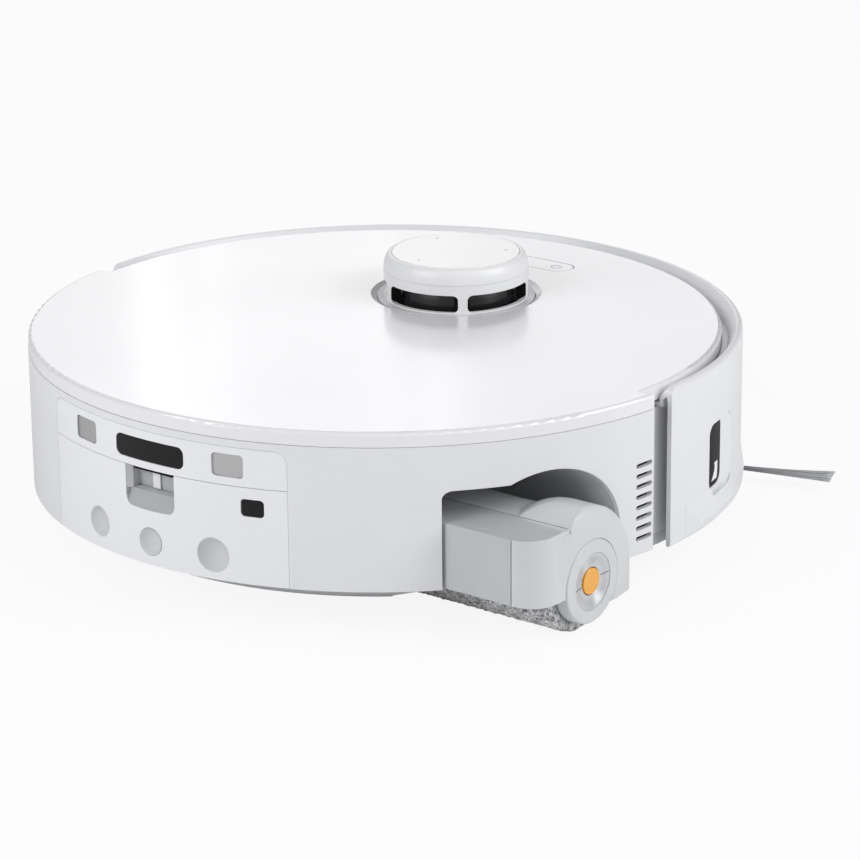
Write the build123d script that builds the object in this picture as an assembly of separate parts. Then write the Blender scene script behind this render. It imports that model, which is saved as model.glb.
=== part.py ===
from build123d import *
import os
from math import asin, cos, degrees, radians, sin, sqrt

# Robot vacuum with an extending roller mop, in millimetres.
# +X is the robot's right, +Y its front (the bumper side), +Z up. The origin is on the floor under the body's centre.

# --- clearances -------------------------------------------------------------------------------------------------
seam = 0.15                     # seam between fixed neighbours
gap = 0.4                       # gap between pieces that move past each other
running = 0.05                  # radial clearance of a shaft in its bearing

# --- body: outline and heights ----------------------------------------------------------------------------------
body_radius = 175.0
wall = 2.4                      # moulded outer walls
wall_bottom = 23.0
seam_height = 92.0              # where lid and side wall meet
lid_rise = 7.2                  # lid top above that seam
wall_end_y = -19.8              # the side wall's two front ends
wall_return = 1.0               # thickness of their inward return
bumper_end_y = -7.0             # the bumper's two rear ends
pan_bottom = 12.0
pan_thickness = 3.0
pan_rim_top = 26.0
pan_flat_radius = body_radius - 23.0  # flat underside inside the chamfered edge
deck_bottom = seam_height - 6.0
deck_thickness = 2.4
frame_radius = body_radius - 8.0  # outside of the wall behind the bumper
frame_wall = 2.4

# --- lid --------------------------------------------------------------------------------------------------------
lid_thickness = 2.2
lid_front_radius = body_radius - 8.0  # front edge, an arc set back by the next value
lid_front_set_back = 4.2
lid_edge_round = 1.8
lid_seam = 0.2                  # shadow line over the side wall
lid_lift = 45.0

# --- bumper -----------------------------------------------------------------------------------------------------
bumper_travel = 4.0
bumper_bottom = 20.0
bumper_slope_foot = body_radius - 7.0  # radius where its inner slope meets the groove
bumper_crown_width = 3.1        # flat-to-edge width of its rounded top edge
bumper_edge_round = 2.4
bumper_corner = 5.0             # rounding of its rear ends' upper corners
bumper_lip_flare = 1.7          # how far the lower lip stands out
bumper_lip_top = 38.0
bumper_lip_start_y = 5.5        # the lip's rear ends
bumper_lip_fade = 12.0          # length over which the lip grows to its full width
side_window = (28.4, 48.4, 36.5, 70.0)   # wall sensor's glass on the right, y and z
side_window_bevel = 9.4         # width of the slope in front of that glass
side_window_depth = 2.6
front_window = (44.0, 46.0, 78.0)        # front sensors: half width, bottom, top

# --- turret -----------------------------------------------------------------------------------------------------
turret_y = 57.0
turret_radius = 36.4
turret_top_radius = 33.0
turret_rise = 21.6              # turret top above the lid
turret_top = seam_height + lid_rise + turret_rise
turret_seam = turret_top - 8.0
base_ring_radius = 39.6
base_ring_top = seam_height + 6.4
slot_bottom = base_ring_top + 0.6
slot_top = slot_bottom + 8.8
turret_wall = 2.2
post_count = 5
post_angle = -47.3              # degrees from +X to the first post
post_width = 4.7
well_radius = 43.0
rotor_radius = 29.5
rotor_bottom = seam_height - 1.0
pulley_groove = 3.6
lidar_motor_reach = 54.0        # from rotor axis to motor axis
lidar_pulley_radius = 5.5
belt_thickness = 1.0

# --- power button -----------------------------------------------------------------------------------------------
button_y = 123.5
button_length = 46.0
button_width = 15.0
button_travel = 1.2

# --- rear panel: sensor strip and water tank --------------------------------------------------------------------
panel_half = 70.7
strip_top = seam_height - 3.6
strip_bottom = seam_height - 22.2
panel_depth = 4.0               # thickness of the strip and of the tank's front
ir_window = (-20.6, 20.6, strip_bottom + 3.6, strip_top - 4.3)
contact_inner = 35.3
contact_outer = 50.9
contact_bottom = strip_bottom + 3.9
contact_top = strip_top - 3.6
tank_back = -body_radius + 51.6
latch_half = 14.8
latch_bottom = strip_bottom - 20.0
latch_round = 5.0               # lower corners of the recess
latch_ledge = strip_bottom - 11.8
latch_lip_depth = 3.0           # how deep the scooped lip is at that ledge
latch_depth = 14.0
latch_face_depth = 7.6          # the tab's face behind the panel's surface
latch_travel = 2.5
tank_window = (49.2, 60.2, strip_bottom - 13.9, strip_bottom - 5.5)
tank_ports = ((-35.0, 36.0, 7.6), (0.0, 34.7, 6.6), (34.9, 34.8, 8.6))  # x, z, rim radius

# --- exhaust slots ----------------------------------------------------------------------------------------------
vent_count = 8
vent_pitch = 5.1
vent_top_z = seam_height - 25.3
vent_y = (-31.3, -20.9)
vent_height = 2.3
vent_tilt = 2.5                 # degrees, rising to the front

# --- mop module -------------------------------------------------------------------------------------------------
roller_y = -77.2
roller_radius = 26.0
roller_floor_gap = 0.2
roller_left = -64.0
roller_right = body_radius - 1.4
roller_core_radius = 20.0
hood_clearance = 1.5            # cloth to hood
hood_wall = 1.65
flare_radius = 34.5             # the hood's wide outer end
flare_start = body_radius - 33.0
flare_end = body_radius - 14.0
module_end = body_radius + 5.0
module_rear = -118.2
module_bottom = 23.5
module_front_bottom = 12.0      # the wide end's front foot
skirt_bottom = 17.0
plate_top = 54.9
plate_thickness = 1.9
plate_front = -91.3
box_left = -70.0
box_right = body_radius - 10.4
module_seam = 0.5               # open joint between the rear channel and the wide end
end_draft = 2.4                 # how far the end leans in at the plate's height
end_round = 3.0
corner_radius = 13.5
plate_rim = 0.8                 # wall left standing round the plate
cap_radius = 20.0
dish_radius = 13.5
release_radius = 6.3
release_travel = 2.0
mop_travel = 42.0
mop_lift = 12.0
arch_radius = 36.0
arch_lift = 12.8                # arch centre above the roller's axis
arch_side = 1.8                 # arch edge behind the module's rear face
arch_top = 70.4
arch_corner = 4.0
liner_wall = 2.0
pin_radius = 3.0
pin_x = (-50.0, 60.0)
guide_rod_radius = 2.0
guide_rod_y = (-98.0, -58.0)
carriage_half = 65.0
carriage_x = 5.0

# --- drive wheels -----------------------------------------------------------------------------------------------
wheel_radius = 35.0
wheel_inner = 109.0
wheel_outer = 127.0
wheel_y = 1.0
tyre_depth = 4.0
arm_pivot_y = 37.0
arm_pivot_z = 40.0
arm_drop = 25.0                 # degrees
arm_inner = 97.5
arm_thickness = 9.5
well_wall = 2.0
well_inner = 95.0
well_y = (-38.4, 56.0)
well_top = deck_bottom - 7.0

# --- caster -----------------------------------------------------------------------------------------------------
caster_y = body_radius - 42.0
caster_radius = 14.0
caster_trail = 8.0
caster_width = 14.0
caster_well_radius = 24.5

# --- brushes ----------------------------------------------------------------------------------------------------
brush_y = 32.0
brush_radius = 20.5
brush_floor_gap = 0.4
brush_half = 84.0
brush_core_radius = 10.0
fin_count = 6
fin_thickness = 2.2
fin_twist = 55.0                # degrees over each half
brush_bay_radius = 23.5
side_brush = (91.0, 130.3)
side_brush_reach = 76.0
side_brush_angle = 21.0
side_brush_arms = 2

# --- inner units ------------------------------------------------------------------------------------------------
bin_x = (-92.0, 30.0)
bin_y = (-37.0, 4.0)
bin_wall = 2.0
filter_inset = 9.0
filter_z = (deck_bottom - 39.0, deck_bottom - 15.0)
fan = (63.0, -16.6)
fan_radius = 22.0
fan_top = 60.0
battery_half = 69.0
battery_y = (64.0, 103.0)
battery_height = 37.0
board_z = deck_bottom - 11.0
board_thickness = 1.6
board_y = (66.0, 150.0)
board_half = 50.0

# --- values that follow from the ones above ---------------------------------------------------------------------
lid_top = seam_height + lid_rise
lid_bottom = seam_height + lid_seam / 2
wall_top = seam_height - lid_seam / 2
inner_radius = body_radius - wall
pan_radius = inner_radius - gap
pan_top = pan_bottom + pan_thickness
deck_top = deck_bottom + deck_thickness
deck_radius = inner_radius - seam
frame_inner = frame_radius - frame_wall
roller_z = roller_radius + roller_floor_gap
hood_inner = roller_radius + hood_clearance
hood_radius = hood_inner + hood_wall
plate_bottom = plate_top - plate_thickness
arch_y = roller_y + 0.2
arch_z = roller_z + arch_lift
arch_rear = module_rear - arch_side
brush_z = brush_radius + brush_floor_gap
lidar_deck = deck_top + 2.2     # top face of the turret's base plate
pin_y = (module_rear + roller_y - hood_radius - gap) / 2
rod_z = deck_bottom - guide_rod_radius - 1.8
flare_crown = roller_z + flare_radius
shoulder = roller_y - plate_front
shoulder_fall = flare_crown - plate_top
shoulder_radius = (shoulder**2 + shoulder_fall**2) / (2 * shoulder_fall)


# --- small helpers ----------------------------------------------------------------------------------------------
def block(x0, x1, y0, y1, z0, z1):
    """Box between two corners."""
    return Pos((x0 + x1) / 2, (y0 + y1) / 2, (z0 + z1) / 2) * Box(x1 - x0, y1 - y0, z1 - z0)


def disc(radius, z0, z1, x=0.0, y=0.0):
    """Upright cylinder."""
    return Pos(x, y, (z0 + z1) / 2) * Cylinder(radius, z1 - z0)


def ring(inner, outer, z0, z1, x=0.0, y=0.0):
    """Upright tube."""
    return disc(outer, z0, z1, x, y) - disc(inner, z0 - 1, z1 + 1, x, y)


def bar(radius, x0, x1, y, z):
    """Cylinder along X."""
    return Pos((x0 + x1) / 2, y, z) * Rot(0, 90, 0) * Cylinder(radius, x1 - x0)


def prism_x(face, x0, x1):
    """Sketch drawn in (y, z), extruded from x0 to x1."""
    return extrude(Plane(origin=(x0, 0, 0), x_dir=(0, 1, 0), z_dir=(1, 0, 0)) * face, amount=x1 - x0)


def prism_y(face, y0, y1):
    """Sketch drawn in (x, z), extruded back from y1 to y0."""
    return extrude(Plane(origin=(0, y1, 0), x_dir=(1, 0, 0), z_dir=(0, -1, 0)) * face, amount=y1 - y0)


def slab(face, z0, z1):
    """Sketch drawn in (x, y), extruded from z0 to z1."""
    return extrude(Pos(0, 0, z0) * face, amount=z1 - z0)


def rect(u0, u1, v0, v1, radius=0.0):
    """Rectangle between two corners, with round corners if a radius is given."""
    shape = RectangleRounded(u1 - u0, v1 - v0, radius) if radius else Rectangle(u1 - u0, v1 - v0)
    return Pos((u0 + u1) / 2, (v0 + v1) / 2) * shape


def turned(points, axis=Axis.Z):
    """Closed (radius, height) outline turned about Z."""
    return revolve(Plane.XZ * make_face(Polyline(*points, close=True)), axis)


def front_half(y):
    """Everything in front of the plane at y."""
    size = 2 * body_radius
    return block(-size, size, y, size, -10, 2 * turret_top)


def rear_half(y):
    """Everything behind the plane at y."""
    size = 2 * body_radius
    return block(-size, size, -size, y, -10, 2 * turret_top)


def near_wheels(piece):
    """The same piece on the right and, mirrored, on the left."""
    return {"right": piece, "left": mirror(piece, about=Plane.YZ)}


# --- outlines that several pieces share -------------------------------------------------------------------------
def body_plan(rear_radius, front_radius, split_y, set_back=0.0):
    """Plan of a plate: a wide arc behind split_y and a narrower one in front."""
    rear = Circle(rear_radius) & rect(-body_radius, body_radius, -body_radius, split_y)
    front = Pos(0, -set_back) * Circle(front_radius)
    return rear + front


def arch_section(grow=0.0, bottom=0.0):
    """Section, in (y, z), of the opening that the mop module passes through."""
    radius = arch_radius + grow
    upper = Pos(arch_y, arch_z) * Circle(radius)
    lower = rect(arch_y - radius, arch_y + radius, bottom, arch_z)
    shelf = rect(arch_rear - grow, arch_y, bottom, arch_top + grow)
    corner = shelf.vertices().group_by(Axis.X)[0].sort_by(Axis.Y)[-1]
    return upper + lower + fillet(corner, arch_corner + grow)


def panel_section(x_half, z0, z1, top_radius):
    """Rear panel outline, in (x, z), with rounded upper corners."""
    outline = rect(-x_half, x_half, z0, z1)
    corners = outline.vertices().group_by(Axis.Y)[-1]
    return fillet(corners, top_radius) if top_radius else outline


# --- fixed body -------------------------------------------------------------------------------------------------
def side_wall():
    wall_ring = ring(inner_radius, body_radius, wall_bottom, wall_top)
    ledge_top = deck_bottom - seam
    ledge = ring(inner_radius - 4, inner_radius + wall / 2, ledge_top - 2.2, ledge_top)
    body = (wall_ring + ledge) & rear_half(wall_end_y)
    # the front ends turn inwards to the frame behind the bumper
    turned_in = ring(frame_radius + seam, inner_radius + wall / 2, pan_rim_top + seam, ledge_top)
    body += turned_in & rear_half(wall_end_y) & front_half(wall_end_y - wall_return)
    body -= prism_y(panel_section(panel_half, wall_bottom - 5, strip_top, 6.0), -2 * body_radius, -body_radius / 2)
    body -= prism_x(arch_section(), body_radius / 2, 2 * body_radius)
    for k in range(vent_count):
        z = vent_top_z - k * vent_pitch
        y = sum(vent_y) / 2
        slot = Pos(y, z) * Rot(0, 0, vent_tilt) * SlotOverall(vent_y[1] - vent_y[0], vent_height)
        body -= prism_x(slot, body_radius / 2, 2 * body_radius)
    return body


def pan_inside(inset=0.0):
    """The room above the pan's floor, between its sloping sides."""
    foot = pan_flat_radius - 1 - inset
    mouth = pan_radius - pan_thickness - inset
    return turned([(0, pan_top), (foot, pan_top), (mouth, pan_top + wall_bottom - pan_bottom),
                   (mouth, pan_rim_top + 1), (0, pan_rim_top + 1)])


def chassis_pan():
    plan = body_plan(pan_radius, frame_radius, wall_end_y)
    cone = turned([(0, pan_bottom), (pan_flat_radius, pan_bottom), (pan_radius, wall_bottom),
                   (pan_radius, pan_rim_top), (0, pan_rim_top)])
    inner = pan_inside() & slab(offset(plan, -frame_wall), pan_top, pan_rim_top + 1)
    pan = (slab(plan, pan_bottom, pan_rim_top) & cone) - inner
    # seat of the water tank and opening of the mop bay
    pan -= block(-panel_half, panel_half, -2 * body_radius, tank_back + gap, wall_bottom, pan_rim_top + 1)
    bay_left = roller_left - mop_travel - 2
    pan -= block(bay_left, 2 * body_radius, roller_y - hood_inner, roller_y + hood_inner, 0, pan_top + 1)
    wide_left = flare_start - mop_travel - 4
    pan -= block(wide_left, 2 * body_radius, arch_rear, arch_y + arch_radius, 0, pan_rim_top + 1)
    # drive wheel wells and main brush bay
    for side in (-1, 1):
        x0, x1 = sorted((side * (well_inner + well_wall), side * (wheel_outer + 2)))
        pan -= block(x0, x1, well_y[0] + well_wall, well_y[1] - well_wall, 0, pan_top + 1)
    pan -= block(-brush_half - 1, brush_half + 1, brush_y - brush_bay_radius + 1, brush_y + brush_bay_radius - 1,
                 0, pan_top + 1)
    # caster socket
    socket_top = 2 * caster_radius + 12
    pan -= disc(caster_well_radius, 0, socket_top - 3, 0, caster_y)
    pan += ring(caster_well_radius, caster_well_radius + 2, pan_bottom + 1, socket_top, 0, caster_y)
    pan += disc(caster_well_radius + 2, socket_top - 3, socket_top, 0, caster_y)
    pan -= disc(5 + running, 0, socket_top + 1, 0, caster_y)
    # side brush shaft bore
    pan -= disc(3 + running, 0, pan_rim_top, *side_brush)
    for x, y in screw_places():
        pan -= disc(3.4, 0, pan_bottom + 1.6, x, y)
    for x, y in sensor_places():
        pan -= slab(Pos(x, y) * RectangleRounded(16, 9, 4), pan_bottom - 1, pan_bottom + 1.2)
    return pan


def around_pan(places):
    """Points on both sides of the underside, given as (degrees from +X, distance inside the flat part's edge)."""
    points = []
    for angle, inset in places:
        radius = pan_flat_radius - inset
        points += [(side * radius * cos(radians(angle)), radius * sin(radians(angle))) for side in (-1, 1)]
    return points


def screw_places():
    return around_pan(((75, 6), (37, 12), (0, 16), (-66, 6)))


def sensor_places():
    return around_pan(((69, 9), (16, 10)))


def chassis_screws():
    screws = []
    for x, y in screw_places():
        head = disc(3.2, pan_bottom + 0.3, pan_bottom + 1.6, x, y)
        slot = block(x - 2, x + 2, y - 0.4, y + 0.4, pan_bottom, pan_bottom + 0.9)
        cross = block(x - 0.4, x + 0.4, y - 2, y + 2, pan_bottom, pan_bottom + 0.9)
        screws.append(head - slot - cross)
    return screws


def cliff_windows():
    return [slab(Pos(x, y) * RectangleRounded(15.6, 8.6, 3.8), pan_bottom + 0.2, pan_bottom + 1.2)
            for x, y in sensor_places()]


def front_frame():
    frame = ring(frame_inner, frame_radius, pan_rim_top, deck_top)
    return frame & front_half(wall_end_y)


def inner_deck():
    plan = body_plan(deck_radius, frame_inner - seam, wall_end_y - seam)
    deck = slab(plan, deck_bottom, deck_top)
    # behind the sensor strip
    behind = ring(body_radius - panel_depth - seam, 2 * body_radius, 0, lid_top)
    deck -= behind & block(-panel_half - 1, panel_half + 1, -2 * body_radius, 0, 0, lid_top)
    deck -= block(bin_x[0] - gap, bin_x[1] + gap, bin_y[0] - gap, bin_y[1] + gap, 0, lid_top)
    deck -= disc(lidar_pulley_radius + 2.5, 0, lid_top, lidar_motor_reach, turret_y)
    # bosses that hold the circuit board
    for x in (-board_half + 6, board_half - 6):
        for y in (board_y[0] + 6, board_y[1] - 6):
            deck += disc(3, board_z + board_thickness, deck_bottom, x, y)
    return deck


def rear_sensor_strip():
    outline = panel_section(panel_half - seam, strip_bottom + seam, strip_top - seam, 6.0 - seam)
    strip = ring(body_radius - panel_depth, body_radius, strip_bottom, strip_top)
    strip &= prism_y(outline, -2 * body_radius, -body_radius / 2)
    pocket = rect(*ir_window, 3.5)
    strip -= prism_y(pocket, -2 * body_radius, -body_radius / 2)
    for side in (-1, 1):
        x0, x1 = sorted((side * contact_inner, side * contact_outer))
        strip -= prism_y(rect(x0, x1, contact_bottom, contact_top, 2.0), -2 * body_radius, -body_radius / 2)
    return strip


def inlay(outline, inner, outer):
    """A piece of a cylindrical wall that fills an outline in (x, z) at the rear."""
    skin = ring(inner, outer, 0, seam_height)
    return skin & prism_y(outline, -2 * body_radius, -body_radius / 2)


def rear_ir_window():
    x0, x1, z0, z1 = ir_window
    outline = rect(x0 + seam, x1 - seam, z0 + seam, z1 - seam, 3.5 - seam)
    return inlay(outline, body_radius - panel_depth, body_radius - 0.3)


def charging_contacts():
    contacts = []
    for side in (-1, 1):
        x0, x1 = sorted((side * contact_inner, side * contact_outer))
        outline = rect(x0 + seam, x1 - seam, contact_bottom + seam, contact_top - seam, 2.0 - seam)
        contacts.append(inlay(outline, body_radius - panel_depth, body_radius - 0.7))
    return contacts


def mop_bay_liner():
    hollow = arch_section(bottom=-10)
    skin = arch_section(grow=liner_wall, bottom=pan_top) - hollow
    left = roller_left - 8 - 16 - mop_travel - 4
    liner = prism_x(skin, left, body_radius)
    liner += prism_x(arch_section(grow=liner_wall, bottom=pan_top), left - liner_wall, left)
    # guide rod brackets stand on the crown
    rod_left = carriage_x - carriage_half - mop_travel - gap
    rod_right = carriage_x + carriage_half + gap
    for x in (rod_left - 5, rod_right):
        foot = block(x, x + 5, guide_rod_y[0] - 5, guide_rod_y[1] + 5, arch_z, rod_z + guide_rod_radius + 1.5)
        liner += foot - prism_x(arch_section(grow=liner_wall / 2), left, body_radius)
    for y in guide_rod_y:
        liner -= bar(guide_rod_radius, rod_left - 6, rod_right + 6, y, rod_z)
    # slot for the carriage's guide pins
    reach = pin_radius + 1.5
    liner -= block(pin_x[0] - mop_travel - reach, pin_x[1] + reach, pin_y - reach, pin_y + reach, arch_z, lid_top)
    return liner & (pan_inside(seam) + disc(inner_radius - gap, pan_rim_top + seam, lid_top))


def mop_guide_rods():
    x0 = carriage_x - carriage_half - mop_travel - gap - 5
    x1 = carriage_x + carriage_half + gap + 5
    return [bar(guide_rod_radius, x0, x1, y, rod_z) for y in guide_rod_y]


def wheel_well():
    """Box over the right drive wheel, open below."""
    outer = block(well_inner, wheel_outer + 4, *well_y, pan_top, well_top)
    inner = block(well_inner + well_wall, wheel_outer + 4 - well_wall, well_y[0] + well_wall, well_y[1] - well_wall,
                  0, well_top - well_wall)
    return outer - inner


def suspension_pivot():
    """Pin of the right swing arm, on the well's inner wall."""
    return bar(2.5, well_inner + well_wall, arm_inner + arm_thickness, arm_pivot_y, arm_pivot_z)


def main_brush_housing():
    half = brush_half + 7
    depth = brush_bay_radius + 2.4
    profile = Pos(brush_y, brush_z) * Circle(depth) + rect(brush_y - depth, brush_y + depth, pan_top, brush_z)
    housing = prism_x(profile & rect(brush_y - depth, brush_y + depth, pan_top, 2 * seam_height), -half, half)
    housing -= bar(brush_bay_radius, -brush_half - 1, brush_half + 1, brush_y, brush_z)
    housing -= block(-brush_half - 1, brush_half + 1, brush_y - brush_bay_radius, brush_y + brush_bay_radius,
                     0, brush_z)
    # bearings in both ends and the suction mouth towards the dustbin
    housing -= bar(3 + running, -half - 1, half + 1, brush_y, brush_z)
    housing -= block(-60, 0, bin_y[1] - 1, brush_y, brush_z + 4, brush_z + 16)
    return housing


def main_brush_cover():
    """Removable frame round the brush opening, under the pan."""
    thickness = 2.4
    outer = rect(-brush_half - 9, brush_half + 9, brush_y - 31, brush_y + 31, 5)
    inner = rect(-brush_half - 0.5, brush_half + 0.5, brush_y - 20.4, brush_y + 20.4, 2)
    cover = slab(outer - inner, pan_bottom - thickness, pan_bottom)
    for x in (-brush_half + 4, brush_half - 4):
        latch = block(x - 9, x + 9, brush_y + 22, brush_y + 29, pan_bottom - thickness - 1, pan_bottom - thickness / 2)
        cover -= block(x - 7, x + 7, brush_y + 23.4, brush_y + 27.6, 0, pan_bottom - thickness + 1.2)
        cover += latch - block(x - 7, x + 7, brush_y + 23.4, brush_y + 27.6, 0, pan_bottom)
    return cover


def battery_pack():
    y0, y1 = battery_y
    z0, z1 = pan_top, pan_top + battery_height
    cell = battery_height / 4
    outline = rect(y0, y1, z0, z1, cell * 0.9)
    return prism_x(outline, -battery_half, battery_half)


def main_circuit_board():
    top = board_z + board_thickness
    rear, front = board_y
    board = block(-board_half, board_half, rear, front, board_z, top)
    board += Pos(-8, rear + 30, top + 1.2) * Box(24, 24, 2.4)      # processor shield
    board += Pos(22, rear + 30, top + 0.9) * Box(16, 12, 1.8)      # motor driver
    tower = deck_bottom - gap - top
    board += Pos(0, button_y, top + tower / 2) * Box(24, 12, tower)  # switch tower
    for x in (-34, -22, 22, 34):
        board += Pos(x, front - 11, top + 2.7) * Box(8, 6, 5.4)    # plug sockets
    return board


def fan_housing():
    x, y = fan
    z0, z1 = pan_top, fan_top
    body = disc(fan_radius, z0, z1, x, y)
    body += block(x, x + fan_radius, y - fan_radius, y, 40, well_top + seam)   # outlet chimney
    body -= disc(fan_radius - 2, 34, z1 - 2, x, y)
    body -= block(x + 2, x + fan_radius - 2, y - fan_radius + 2, y - 2, 42, well_top + 1)
    body += disc(10, z0, 44, x, y)                                             # motor can
    body += disc(2, 40, z1 - 3, x, y)                                          # its shaft
    inlet = x - fan_radius
    body -= block(inlet - 1, x - fan_radius / 2, y - 12, y + 12, 48, 58)
    return body


def exhaust_duct():
    """Flat duct over the right wheel well, then down behind the exhaust slots."""
    x, y = fan
    z1 = deck_bottom - seam
    y0, y1 = well_y[0] + 1, wall_end_y - wall_return - gap
    x1 = wheel_outer + 4
    skin = 1.5
    run = block(x, x1, y0, y, well_top + 2 * seam, z1)
    run += block(x, inner_radius, y0, y1, well_top + 2 * seam, z1)
    drop = block(x1 + seam, inner_radius, y0, y1, pan_rim_top + seam, z1)
    hollow = block(x + skin, x1 - skin, y0 + skin, y - skin, well_top + 1.8, z1 - skin)
    hollow += block(x + skin, inner_radius + 1, y0 + skin, y1 - skin / 2, well_top + 1.8, z1 - skin)
    hollow += block(x1 + seam + skin, inner_radius + 1, y0 + skin, y1 - skin / 2, pan_rim_top + seam + skin, z1 - skin)
    hollow += block(x + 2, x + fan_radius - 2, y - fan_radius + 2, y - 2, well_top - 1, z1 - skin)
    duct = (run + drop - hollow) & disc(inner_radius - gap, 0, seam_height)
    return duct - ring(inner_radius - 4 - seam, body_radius, deck_bottom - seam - 2.2 - seam, seam_height)


def dustbin():
    x0, x1 = bin_x
    y0, y1 = bin_y
    z0, z1 = pan_top + seam, deck_bottom - gap
    outer = block(x0, x1, y0, y1, z0, z1)
    outer = fillet(outer.edges().filter_by(Axis.Z), 5)
    body = outer - block(x0 + bin_wall, x1 - bin_wall, y0 + bin_wall, y1 - bin_wall, z0 + bin_wall, z1 + 1)
    # mouth towards the brush and window of the filter
    body -= block(-60, 0, y1 - bin_wall - 1, y1 + 1, brush_z + 4, brush_z + 16)
    window = filter_inset - 1
    body -= block(x1 - bin_wall - 1, x1 + 1, y0 + window, y1 - window, filter_z[0] - 1, filter_z[1] + 1)
    return body


def dustbin_lid():
    x0, x1 = bin_x
    y0, y1 = bin_y
    z0 = deck_bottom - gap
    lid = block(x0, x1, y0, y1, z0, deck_top + 3)
    lid = fillet(lid.edges().filter_by(Axis.Z), 5)
    # a grip between two finger pockets
    middle = (x0 + x1) / 2
    for side in (-1, 1):
        a, b = sorted((middle + side * 5, middle + side * 24))
        lid -= block(a, b, y0 + 10, y1 - 10, z0 + 1.5, deck_top + 4)
    return lid


def dust_filter():
    """Pleated filter between dustbin and fan."""
    x0 = bin_x[1]
    x1 = fan[0] - fan_radius - seam
    y0, y1 = bin_y[0] + filter_inset, bin_y[1] - filter_inset
    z0, z1 = filter_z
    frame = block(x0, x1, y0, y1, z0, z1) - block(x0 - 1, x1 + 1, y0 + 2, y1 - 2, z0 + 2, z1 - 2)
    pleats = 9
    step = (y1 - y0 - 4) / pleats
    near, far = [], []
    for k in range(pleats):
        y = y0 + 2 + k * step
        near += [(x0 + 0.6, y), (x1 - 2.2, y + step / 2)]
        far += [(x0 + 2.2, y), (x1 - 0.6, y + step / 2)]
    end = y0 + 2 + pleats * step
    zigzag = near + [(x0 + 0.6, end), (x0 + 2.2, end)] + far[::-1]
    return frame + slab(make_face(Polyline(*zigzag, close=True)), z0 + 2, z1 - 2)


# --- turret -----------------------------------------------------------------------------------------------------
def lidar_base():
    plate = disc(base_ring_radius + 4, deck_top, lidar_deck, 0, turret_y)
    plate += slab(make_hull((Pos(0, turret_y) * Circle(20)
                             + Pos(lidar_motor_reach, turret_y) * Circle(lidar_pulley_radius + 5)).edges()),
                  deck_top, lidar_deck)
    base = plate + ring(turret_radius + seam, base_ring_radius, deck_top, base_ring_top, 0, turret_y)
    belt_top = rotor_bottom + pulley_groove + 1
    base -= block(20, base_ring_radius + 5, turret_y - 22, turret_y + 22, lidar_deck, belt_top)
    base -= disc(lidar_pulley_radius + 0.8, 0, lid_top, lidar_motor_reach, turret_y)
    base += disc(8, lidar_deck, base_ring_top, 0, turret_y)
    return base


def turret_cap():
    """Domed cap on its posts, over the rotor."""
    rim = turret_top - 0.3
    across, rise = turret_radius - turret_top_radius, rim - turret_seam
    dome = Bezier((turret_radius, turret_seam), (turret_radius, turret_seam + 0.55 * rise),
                  (turret_radius - 0.45 * across, rim), (turret_top_radius, rim))
    rest = Polyline((turret_top_radius, rim), (0, rim), (0, slot_bottom - 1), (turret_radius, slot_bottom - 1),
                    (turret_radius, turret_seam))
    cap = revolve(Plane.XZ * make_face(dome + rest), Axis.Z)
    cap -= disc(turret_radius - turret_wall, 0, turret_top - 6)
    cap -= disc(turret_top_radius - 0.7, turret_top - 1.8, turret_top + 1)
    cap -= ring(turret_radius - 0.35, turret_radius + 1, turret_seam - 0.15, turret_seam + 0.15)
    pitch = 360 / post_count
    half_window = turret_radius * sin(radians(pitch / 2) - post_width / 2 / turret_radius)
    opening = prism_y(rect(-half_window, half_window, slot_bottom, slot_top, 2.6), -2 * turret_radius,
                      -turret_radius / 2)
    post = block(turret_radius - 4, turret_radius - 1, -post_width / 2, post_width / 2, slot_bottom - 1, slot_top + 1)
    for k in range(post_count):
        cap -= Rot(0, 0, post_angle + pitch * (k + 0.5) + 90) * opening
    for k in range(post_count):
        cap += Rot(0, 0, post_angle + pitch * k) * post
    skirt = ring(turret_radius - turret_wall, turret_radius, lidar_deck, slot_bottom)
    belt_top = rotor_bottom + pulley_groove + 1
    skirt -= block(10, turret_radius + 5, -22, 22, 0, belt_top)
    return Pos(0, turret_y, 0) * (cap + skirt)


def turret_top_disc():
    top = disc(turret_top_radius - 0.7 - seam, turret_top - 1.8, turret_top, 0, turret_y)
    return fillet(top.edges().group_by(Axis.Z)[-1], 0.5)


def lidar_rotor():
    top = slot_top + 3
    drum = disc(rotor_radius, rotor_bottom + pulley_groove, top, 0, turret_y)
    drum += disc(rotor_radius - 1.5, rotor_bottom, rotor_bottom + pulley_groove, 0, turret_y)
    drum -= disc(8 + gap, 0, base_ring_top + gap, 0, turret_y)
    # flat face with the two lenses
    face_y = turret_y + rotor_radius - 3
    middle = (slot_bottom + slot_top) / 2
    drum -= block(-rotor_radius, rotor_radius, face_y, face_y + 10, slot_bottom - 1, top + 1)
    for x, radius in ((-9, 3.6), (9, 5.2)):
        barrel = Pos(x, face_y, middle) * Rot(90, 0, 0) * Cylinder(radius, 3)
        drum += barrel - Pos(x, face_y + 1.5, middle) * Rot(90, 0, 0) * Cylinder(radius - 1, 1.6)
    return drum


def lidar_motor():
    x = lidar_motor_reach
    can = disc(lidar_pulley_radius + 1.5, deck_bottom - 14, lidar_deck - 2.4, x, turret_y)
    return can + disc(1, deck_bottom, rotor_bottom + pulley_groove - 0.6, x, turret_y)


def lidar_motor_pulley():
    x = lidar_motor_reach
    pulley = disc(lidar_pulley_radius, rotor_bottom, rotor_bottom + pulley_groove, x, turret_y)
    return pulley - disc(1 + running, 0, rotor_bottom + pulley_groove - 0.5, x, turret_y)


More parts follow.
